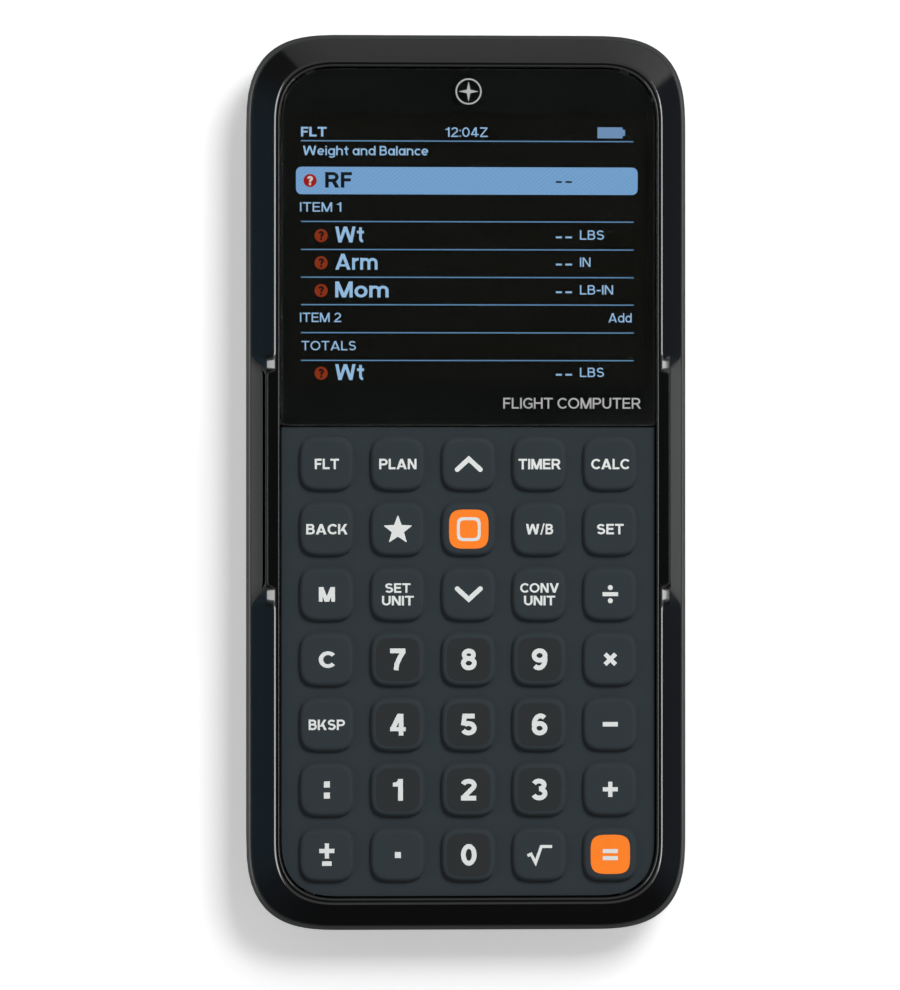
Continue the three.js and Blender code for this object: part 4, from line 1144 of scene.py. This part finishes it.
class BuildScreen(bpy.types.Operator):
    """Build what the display shows"""

    bl_idname = "flight_computer.screen"
    bl_label = "Screen"

    def execute(self, context):
        case = context.scene.flight_computer_case
        screen = context.scene.flight_computer_screen
        middle = lit_middle(case, screen)
        left = (middle[0] - screen.lit_width / 2) / MM
        top = (middle[1] + screen.lit_length / 2) / MM
        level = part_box("lcd_panel")[1].z

        def word(text, x0, x1, base, height, weight=0.13):
            """A word from x0 to x1, its base and height in millimetres from the lit area's corner."""
            return shifted(lettering(text, height, x1 - x0, weight), left + x0, top - base)

        def rule(x0, x1, y, thickness=0.22):
            """A thin line across the screen."""
            return bar(left + x0, left + x1, top - y - thickness / 2, top - y + thickness / 2)

        def dashes(y):
            """The two dashes of an empty value."""
            return [rule(52.6, 53.8, y, 0.35), rule(54.5, 55.8, y, 0.35)]

        def question(x, y):
            """The question mark in a round marker."""
            return centred(lettering("?", 1.8, 1.15, 0.24), x, y)

        marker_radius = 1.3
        blue = [
            word("FLT", 1.9, 7.0, 3.8, 1.9, 0.19), word("12:04Z", 30.6, 39.0, 3.8, 1.9),
            word("Weight and Balance", 2.3, 27.2, 7.5, 1.85, 0.15),
            word("ITEM 1", 1.7, 9.9, 18.7, 1.85), word("ITEM 2", 1.7, 9.9, 40.6, 1.85),
            word("Add", 63.1, 67.7, 40.6, 1.85), word("TOTALS", 2.0, 12.8, 46.2, 1.85),
        ]
        battery = [
            bar(left + 60.9, left + 65.9, top - 4.0, top - 1.8),
            bar(left + 65.9, left + 66.4, top - 3.5, top - 2.3),
        ]
        rules = [rule(1.9, 68.1, y) for y in (4.65, 20.65, 26.2, 31.7, 37.15, 42.7, 48.2)]
        rows = [
            ("Wt", 14.4, 24.8, "LBS", 62.2), ("Arm", 17.1, 30.2, "IN", 59.5),
            ("Mom", 19.3, 35.7, "LB-IN", 64.0), ("Wt", 14.4, 52.1, "LBS", 62.2),
        ]
        marker_x = left + 5.9
        dim = []
        signs = []
        for name, end, base, unit, unit_end in rows:
            blue.append(word(name, 8.7, end, base, 3.15, 0.17))
            blue.append(word(unit, 57.4, unit_end, base - 0.65, 1.85))
            blue += dashes(base - 1.1)
            dim.append(disc(marker_x, top - base + 1.35, marker_radius))
            signs.append(question(marker_x, top - base + 1.35))
        selected = rounded_bar(left + 0.9, left + 68.9, top - 15.25, top - 9.8, 1.1)
        chosen = [word("RF", 6.7, 12.0, 13.95, 3.1, 0.2)] + dashes(12.7)
        marker = disc(left + 3.7, top - 12.55, marker_radius)
        sign = question(left + 3.7, top - 12.55)

        lit = lit_cells("lit_blue_cells", screen.lit_blue)
        unlit = lit_cells("unlit_cells", linear("0A0D12"))
        step = 0.02 * MM
        for name, shapes, material, height in (
            ("screen_text", blue, lit, 1),
            ("screen_battery", battery, lit_cells("lit_icon_cells", screen.icon_blue), 1),
            ("screen_rules", rules, lit_cells("lit_rule_cells", screen.rule_blue), 1),
            ("screen_selection", [selected], lit_cells("lit_bar_cells", screen.bar_blue, 0.1), 1),
            ("screen_selected_text", chosen, unlit, 3),
            ("screen_marker", [marker], lit_cells("lit_red_cells", screen.marker_red), 3),
            ("screen_markers", dim, lit_cells("lit_orange_cells", screen.marker_orange), 3),
            ("screen_marker_sign", [sign], lit_cells("lit_white_cells", linear("D8D0D0")), 5),
            ("screen_marker_signs", signs, unlit, 5),
        ):
            put_marks(
                name, together(shapes), level + height * step, material, HOUSING, step
            )
        finish_node("lcd_panel", panel_glass(), 0.1 * MM)
        return {"FINISHED"}


class BuildKeypad(bpy.types.Operator):
    """Build the rubber mat and its 35 domed keys"""

    bl_idname = "flight_computer.keypad"
    bl_label = "Keypad"

    def execute(self, context):
        keypad = context.scene.flight_computer_keypad
        rubber = silicone("moulded_silicone", keypad.rubber_colour)
        finish_node("keypad_mat", rubber)
        mat_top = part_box("keypad_mat")[1].z
        pad_rubber = silicone("digit_pad_silicone", keypad.pad_colour)
        # Painted glow: emission makes the orange insets shine a little brighter than the light falling on
        # them would, though they are no lamp.
        orange = silicone(
            "glowing_orange_silicone", keypad.orange_colour,
            Emission_Color=keypad.orange_colour, Emission_Strength=0.22,
        )
        dome_wall = 0.3 * MM
        pad_proud = 0.05 * MM
        pad_sunk = 0.1 * MM
        for name in KEY_NAMES:
            node = "key_" + name
            middle, key_top = key_place(node)
            digit = name.isdigit()
            mesh = key_dome(keypad, node, middle, mat_top, key_top, digit)
            dome = thicken(put("dome_" + name, mesh, [rubber]), dome_wall)
            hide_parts(node)
            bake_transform(dome)
            if digit or name in ORANGE_KEYS:
                size, power = (keypad.digit_pad, 4.2) if digit else (keypad.orange_pad, 3.8)
                loop = squircle(size / 2, size / 2 * KEY_ASPECT, power) + middle
                mesh = rounded_plate(
                    "pad_" + name, loop, key_top - pad_sunk, key_top + pad_proud, pad_proud, 3
                )
                material = pad_rubber if digit else orange
                put("pad_" + name, mesh, [material], node)
        return {"FINISHED"}


def key_place(node):
    """The middle of a key across, and the height of its top."""
    low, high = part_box(node)
    return np.array([(low.x + high.x) / 2, (low.y + high.y) / 2]), high.z


def key_dome(keypad, name, middle, low, high, digit):
    """A key moulded as one dome with its mat: rings of superellipses cover the flat top, and then
    grow by (foot - top) sin a while the height falls by its whole drop times 1 - cos a, as a goes
    from 0 to a right angle. A last ring runs out into the mat."""
    top = (keypad.digit_pad + 0.3 * MM) / 2 if digit else keypad.plateau / 2
    foot = keypad.foot / 2
    inner = np.array([0.3, 0.6, 0.85, 1.0])
    angle = np.linspace(0, math.pi / 2, 13)[1:]
    halves = np.concatenate([inner * top, top + np.sin(angle) * (foot - top), [foot + 0.2 * MM]])
    powers = np.concatenate([np.full(4, 4.4), 4.4 + np.sin(angle) * (3.5 - 4.4), [3.5]])
    fall = np.concatenate([np.zeros(4), 1 - np.cos(angle), [1.08]])
    heights = high - fall * (high - low - 0.08 * MM)
    rings = np.stack([
        np.column_stack([
            squircle(half, half * KEY_ASPECT, power) + middle, np.full(RING_POINTS, height),
        ])
        for half, power, height in zip(halves, powers, heights)
    ])
    return lofted(name + "_dome", rings, (*middle, high), sharp=80, outward=False)


class BuildLegends(bpy.types.Operator):
    """Print the legends on the keys"""

    bl_idname = "flight_computer.legends"
    bl_label = "Legends"

    def execute(self, context):
        keypad = context.scene.flight_computer_keypad
        ink = screen_ink("white_legend_ink", keypad.ink_colour)
        signs = key_signs()
        for name in KEY_NAMES:
            if name in KEY_WORDS:
                mark = word_lines(KEY_WORDS[name], keypad)
            elif name.isdigit():
                width = 2.0 if name == "1" else 3.1
                mark = centred(lettering(name, keypad.digit_height / MM, width, 0.22))
            elif name in ("m", "c"):
                height = 2.9 if name == "m" else 3.3
                mark = centred(lettering(name.upper(), height, 3.2, 0.22))
            else:
                mark = signs[name]
            middle, key_top = key_place("key_" + name)
            padded = name.isdigit() or name in ORANGE_KEYS
            level = key_top + (0.065 if padded else 0.015) * MM
            mark = shifted(mark, *(middle / MM))
            put_marks("legend_" + name, mark, level, ink, "key_" + name)
        return {"FINISHED"}


def word_lines(lines, keypad):
    """One or two lines of lettering, centred together on the key."""
    if len(lines) == 1:
        text, width = lines[0]
        return centred(lettering(text, keypad.word_height / MM, width, 0.19))
    height = keypad.pair_height / MM
    return together([
        centred(lettering(text, height, width, 0.19), 0, offset)
        for (text, width), offset in zip(lines, (1.25, -1.25))
    ])


def key_signs():
    """The signs that aren't lettering, each centred on its key, in millimetres."""
    plus = together([
        bar(-1.5, 1.5, -0.42, 0.42), bar(-0.42, 0.42, 0.42, 1.5), bar(-0.42, 0.42, -1.5, -0.42),
    ])
    square = bar(-0.6, 0.6, -0.6, 0.6)
    ends = np.array([(-2.3, -1.1), (0, 1.0), (2.3, -1.1)])
    chevron = together([stroke(ends, 0.95), disc(*ends[0], 0.475), disc(*ends[2], 0.475)], 0.004)
    arm = np.array([[-1.05, -1.05], [1.05, 1.05]])
    cross = together([stroke(arm, 0.85), stroke(arm * [1, -1], 0.85)], 0.004)
    return {
        "up": chevron,
        "down": (chevron[0] * [-1, -1, 1], chevron[1]),
        "star": shifted(star(3.05), 0, -0.2),
        "menu": hoop(squircle(2.37, 2.37, 4.6), squircle(1.78, 1.78, 5)),
        "divide": together([
            bar(-1.55, 1.55, -0.4, 0.4), disc(0, 1.3, 0.5), disc(0, -1.3, 0.5),
        ]),
        "multiply": cross,
        "minus": bar(-1.5, 1.5, -0.45, 0.45),
        "plus": plus,
        "colon": together([shifted(square, 0, 1.1), shifted(square, 0, -1.1)]),
        "sign": together([shifted(plus, 0, 0.85), bar(-0.95, 0.95, -2.1, -1.2)]),
        "point": square,
        "root": stroke([(-2.4, -0.2), (-1.7, 0.1), (-0.8, -1.6), (0.35, 1.6), (2.5, 1.6)], 0.6),
        "equals": together([bar(-1.5, 1.5, 0.25, 1.05), bar(-1.5, 1.5, -1.15, -0.35)]),
    }


class BuildInside(bpy.types.Operator):
    """Finish the board, display tray, cable, contacts and cells"""

    bl_idname = "flight_computer.inside"
    bl_label = "Inside"

    def execute(self, context):
        finish_node("main_board", board_laminate(), 0.1 * MM)
        # Electro-galvanised tray: soft grey spangle.
        tray = plated_metal("galvanised_steel", linear("8E9192"), 0.4, 2.5 * MM, (1, 1, 1))
        finish_node("lcd_frame", tray, 0.1 * MM)
        # Polyimide film over copper: amber, satin, faintly mottled.
        film = polymer("polyimide_film", linear("A8601C"), 0.3, 1.5 * MM, 0.01 * MM, mottle=0.15)
        finish_node("lcd_flex", film)
        nickel = plated_metal("nickel_plated_steel", linear("C3BFB6"), 0.25, 0.3 * MM)
        for place in ("positive", "negative", "link_1", "link_2", "link_3"):
            finish_node("contact_" + place, nickel, 0.06 * MM)
        sleeve = cell_sleeve()
        for index in range(1, 5):
            put_cell("battery_%d" % index, sleeve, nickel)
        return {"FINISHED"}


def put_cell(node, sleeve, nickel):
    """A dry cell turned about its long axis from a profile of radius and place: button, recessed end,
    rolled sleeve edge, body, rolled edge and flat end."""
    low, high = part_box(node)
    points = node_mesh(node)[1]
    centre_x = (low.x + high.x) / 2
    centre_z = (low.z + high.z) / 2
    radius = (high.x - low.x) / 2
    at_top = points[points[:, 1] > high.y - 0.1 * MM]
    button_up = np.abs(at_top[:, 0] - centre_x).max() < radius / 2
    length = high.y - low.y
    edge = 0.6 * MM
    profile = np.array([
        (1.5 * MM, 0), (1.85 * MM, 0.2 * MM), (1.9 * MM, 0.8 * MM), (radius - 0.9 * MM, 0.85 * MM),
        (radius - 0.6 * MM, 0.75 * MM), (radius - 0.2 * MM, 0.9 * MM), (radius, 0.8 * MM + edge),
        (radius, length - edge), (radius - 0.15 * MM, length - 0.2 * MM),
        (radius - 0.5 * MM, length - 0.05 * MM), (radius - 0.8 * MM, length - 0.15 * MM),
        (radius - 1.0 * MM, length),
    ])
    sides = 56
    angle = np.arange(sides) / sides * 2 * math.pi
    start, direction = (high.y, -1) if button_up else (low.y, 1)
    y = start + direction * profile[:, 1:]
    x = centre_x + profile[:, :1] * np.cos(angle)
    z = centre_z + profile[:, :1] * np.sin(angle)
    rings = np.stack(np.broadcast_arrays(x, y, z), axis=-1)
    first = (centre_x, start, centre_z)
    last = (centre_x, start + direction * length, centre_z)
    mesh = lofted(node + "_cell", rings, first, last, sharp=50)
    put(node + "_cell", mesh, [sleeve, nickel], HOUSING, [node])
    ring_of_face = np.arange(len(mesh.polygons)) // len(angle)
    bare = (ring_of_face < 3) | (ring_of_face >= len(profile) - 2)
    mesh.polygons.foreach_set("material_index", bare.astype(np.int32))


class BuildStage(bpy.types.Operator):
    """Set up the floor, the lights and the camera"""

    bl_idname = "flight_computer.stage"
    bl_label = "Stage"

    def execute(self, context):
        scene = context.scene
        stage = scene.flight_computer_stage
        far = 3.0
        corners = [(-far, -far, 0), (far, -far, 0), (far, far, 0), (-far, far, 0)]
        mesh = make_mesh("floor", corners, [(0, 1, 2, 3)], outward=False)
        # Painted board: flat white with a barely visible roller texture.
        paint = polymer(
            "matt_white_paint", stage.floor_colour, 0.9, 4 * MM, 0.02 * MM, mottle=0.01,
            Emission_Color=(1, 1, 1, 1), Emission_Strength=stage.floor_glow,
        )
        floor = put("floor", mesh, [paint])
        floor.visible_glossy = False

        aim = Vector((stage.aim_x, stage.aim_y, stage.aim_z))
        turn = stage.camera_turn
        back = Vector((-math.sin(turn), 0, math.cos(turn)))
        side = Vector((math.cos(turn), 0, math.sin(turn)))
        data = bpy.data.cameras.new("camera")
        data.sensor_width = 36
        data.lens = data.sensor_width * stage.camera_distance / stage.frame_height
        data.clip_end = 20
        camera = bpy.data.objects.new("camera", data)
        turned = Matrix((side, Vector((0, 1, 0)), back)).transposed()
        camera.matrix_world = Matrix.Translation(aim + back * stage.camera_distance) @ turned.to_4x4()
        scene.collection.objects.link(camera)
        scene.camera = camera

        softboxes = (
            # name, place, width, length, power, and whether it lights the soft surfaces. The others
            # only show as reflections in the glossy ones.
            ("left_strip", (-0.83, 0.0, 0.56), 0.16, 1.5, 3.9, False),
            ("right_strip", (0.9, 0.0, 0.44), 0.09, 1.5, 2.7, False),
            ("key_light", (0.5, 0.75, 1.2), 0.6, 0.6, 15.2, True),
        )
        for name, place, width, long, power, soft in softboxes:
            light = bpy.data.lights.new(name, "AREA")
            light.shape = "RECTANGLE"
            light.size = width
            light.size_y = long
            light.energy = power
            lamp = bpy.data.objects.new(name, light)
            lamp.visible_camera = False
            lamp.visible_diffuse = soft
            lamp.visible_glossy = not soft
            away = Vector(place).normalized()
            along = Vector((0, 1, 0)) - away * away.y
            along.normalize()
            across = along.cross(away)
            turned = Matrix((across, along, away)).transposed()
            lamp.matrix_world = Matrix.Translation(place) @ turned.to_4x4()
            scene.collection.objects.link(lamp)
        scene.world = studio_world()
        scene.view_settings.view_transform = "Standard"
        return {"FINISHED"}


def studio_world():
    """The studio's walls as a soft gradient. Above the horizon they are pale, and dark straight up.
    Below it they are dim and bluish at the sides, black behind the near end and grey behind the far
    end, where the grey ends at two upright edges."""
    world = bpy.data.worlds.new("studio")
    world.use_nodes = True
    tree = world.node_tree
    direction = add(tree, "ShaderNodeTexCoord").outputs["Generated"]
    parts = add(tree, "ShaderNodeSeparateXYZ", {0: direction})
    # Turned flat, a direction's place round the horizon goes from 0 at the left by way of the near
    # end at 0.25, the right at 0.5 and the far end at 0.75 back to the left.
    flat = add(tree, "ShaderNodeCombineXYZ", {0: parts.outputs["X"], 1: parts.outputs["Y"]})
    around = add(tree, "ShaderNodeTexGradient", {"Vector": flat.outputs[0]}, gradient_type="RADIAL")
    above = (0.0, (0.33,) * 3), (0.8, (0.42,) * 3), (0.97, (0.016, 0.019, 0.018))
    below = (
        (0.0, (0.058, 0.1, 0.128)), (0.1, (0.035, 0.045, 0.055)), (0.25, (0.019,) * 3),
        (0.38, (0.019,) * 3), (0.46, (0.045, 0.055, 0.07)), (0.57, (0.045, 0.052, 0.065)),
        (0.585, (0.4,) * 3), (0.66, (0.34,) * 3), (0.75, (0.23,) * 3), (0.82, (0.2,) * 3),
        (0.828, (0.03,) * 3), (0.9, (0.03,) * 3), (1.0, (0.058, 0.1, 0.128)),
    )
    colours = []
    for source, stops in ((parts.outputs["Z"], above), (around.outputs["Fac"], below)):
        shades = add(tree, "ShaderNodeValToRGB", {"Fac": source})
        elements = shades.color_ramp.elements
        while len(elements) < len(stops):
            elements.new(0.5)
        for element, (place, colour) in zip(elements, stops):
            element.position = place
            element.color = (*colour, 1)
        colours.append(shades.outputs["Color"])
    climb = add(
        tree, "ShaderNodeMapRange", {"Value": parts.outputs["Z"], "From Min": -0.1, "From Max": 0.25}
    )
    walls = add(
        tree, "ShaderNodeMix", {0: climb.outputs["Result"], 6: colours[1], 7: colours[0]},
        data_type="RGBA",
    )
    tree.links.new(walls.outputs[2], tree.nodes["Background"].inputs["Color"])
    return world


class FlightComputerPanel(bpy.types.Panel):
    """Lists the steps that build the flight computer"""

    bl_idname = "VIEW3D_PT_flight_computer"
    bl_label = "Flight computer"
    bl_space_type = "VIEW_3D"
    bl_region_type = "UI"
    bl_category = "Flight computer"

    def draw(self, context):
        for operator in OPERATORS:
            self.layout.operator(operator.bl_idname)
        for name in SETTINGS:
            group = getattr(context.scene, name)
            box = self.layout.box()
            for key in group.bl_rna.properties.keys():
                if key not in ("rna_type", "name"):
                    box.prop(group, key)


OPERATORS = (
    BuildBackCase, BuildBezel, BuildWindow, BuildScreen, BuildKeypad, BuildLegends, BuildInside,
    BuildStage,
)
SETTINGS = {
    "flight_computer_case": CaseSettings,
    "flight_computer_keypad": KeypadSettings,
    "flight_computer_screen": ScreenSettings,
    "flight_computer_stage": StageSettings,
}


def register():
    """Registers the settings, the operators and the panel."""
    for group in SETTINGS.values():
        bpy.utils.register_class(group)
    for operator in OPERATORS:
        bpy.utils.register_class(operator)
    bpy.utils.register_class(FlightComputerPanel)
    for name, group in SETTINGS.items():
        setattr(bpy.types.Scene, name, bpy.props.PointerProperty(type=group))


def unregister():
    """Takes everything out again."""
    for name in SETTINGS:
        delattr(bpy.types.Scene, name)
    bpy.utils.unregister_class(FlightComputerPanel)
    for operator in OPERATORS:
        bpy.utils.unregister_class(operator)
    for group in SETTINGS.values():
        bpy.utils.unregister_class(group)


def main():
    """Registers the add-on and builds every piece in order."""
    register()
    for operator in OPERATORS:
        area, step = operator.bl_idname.split(".")
        getattr(getattr(bpy.ops, area), step)()


if __name__ == "__main__":
    main()
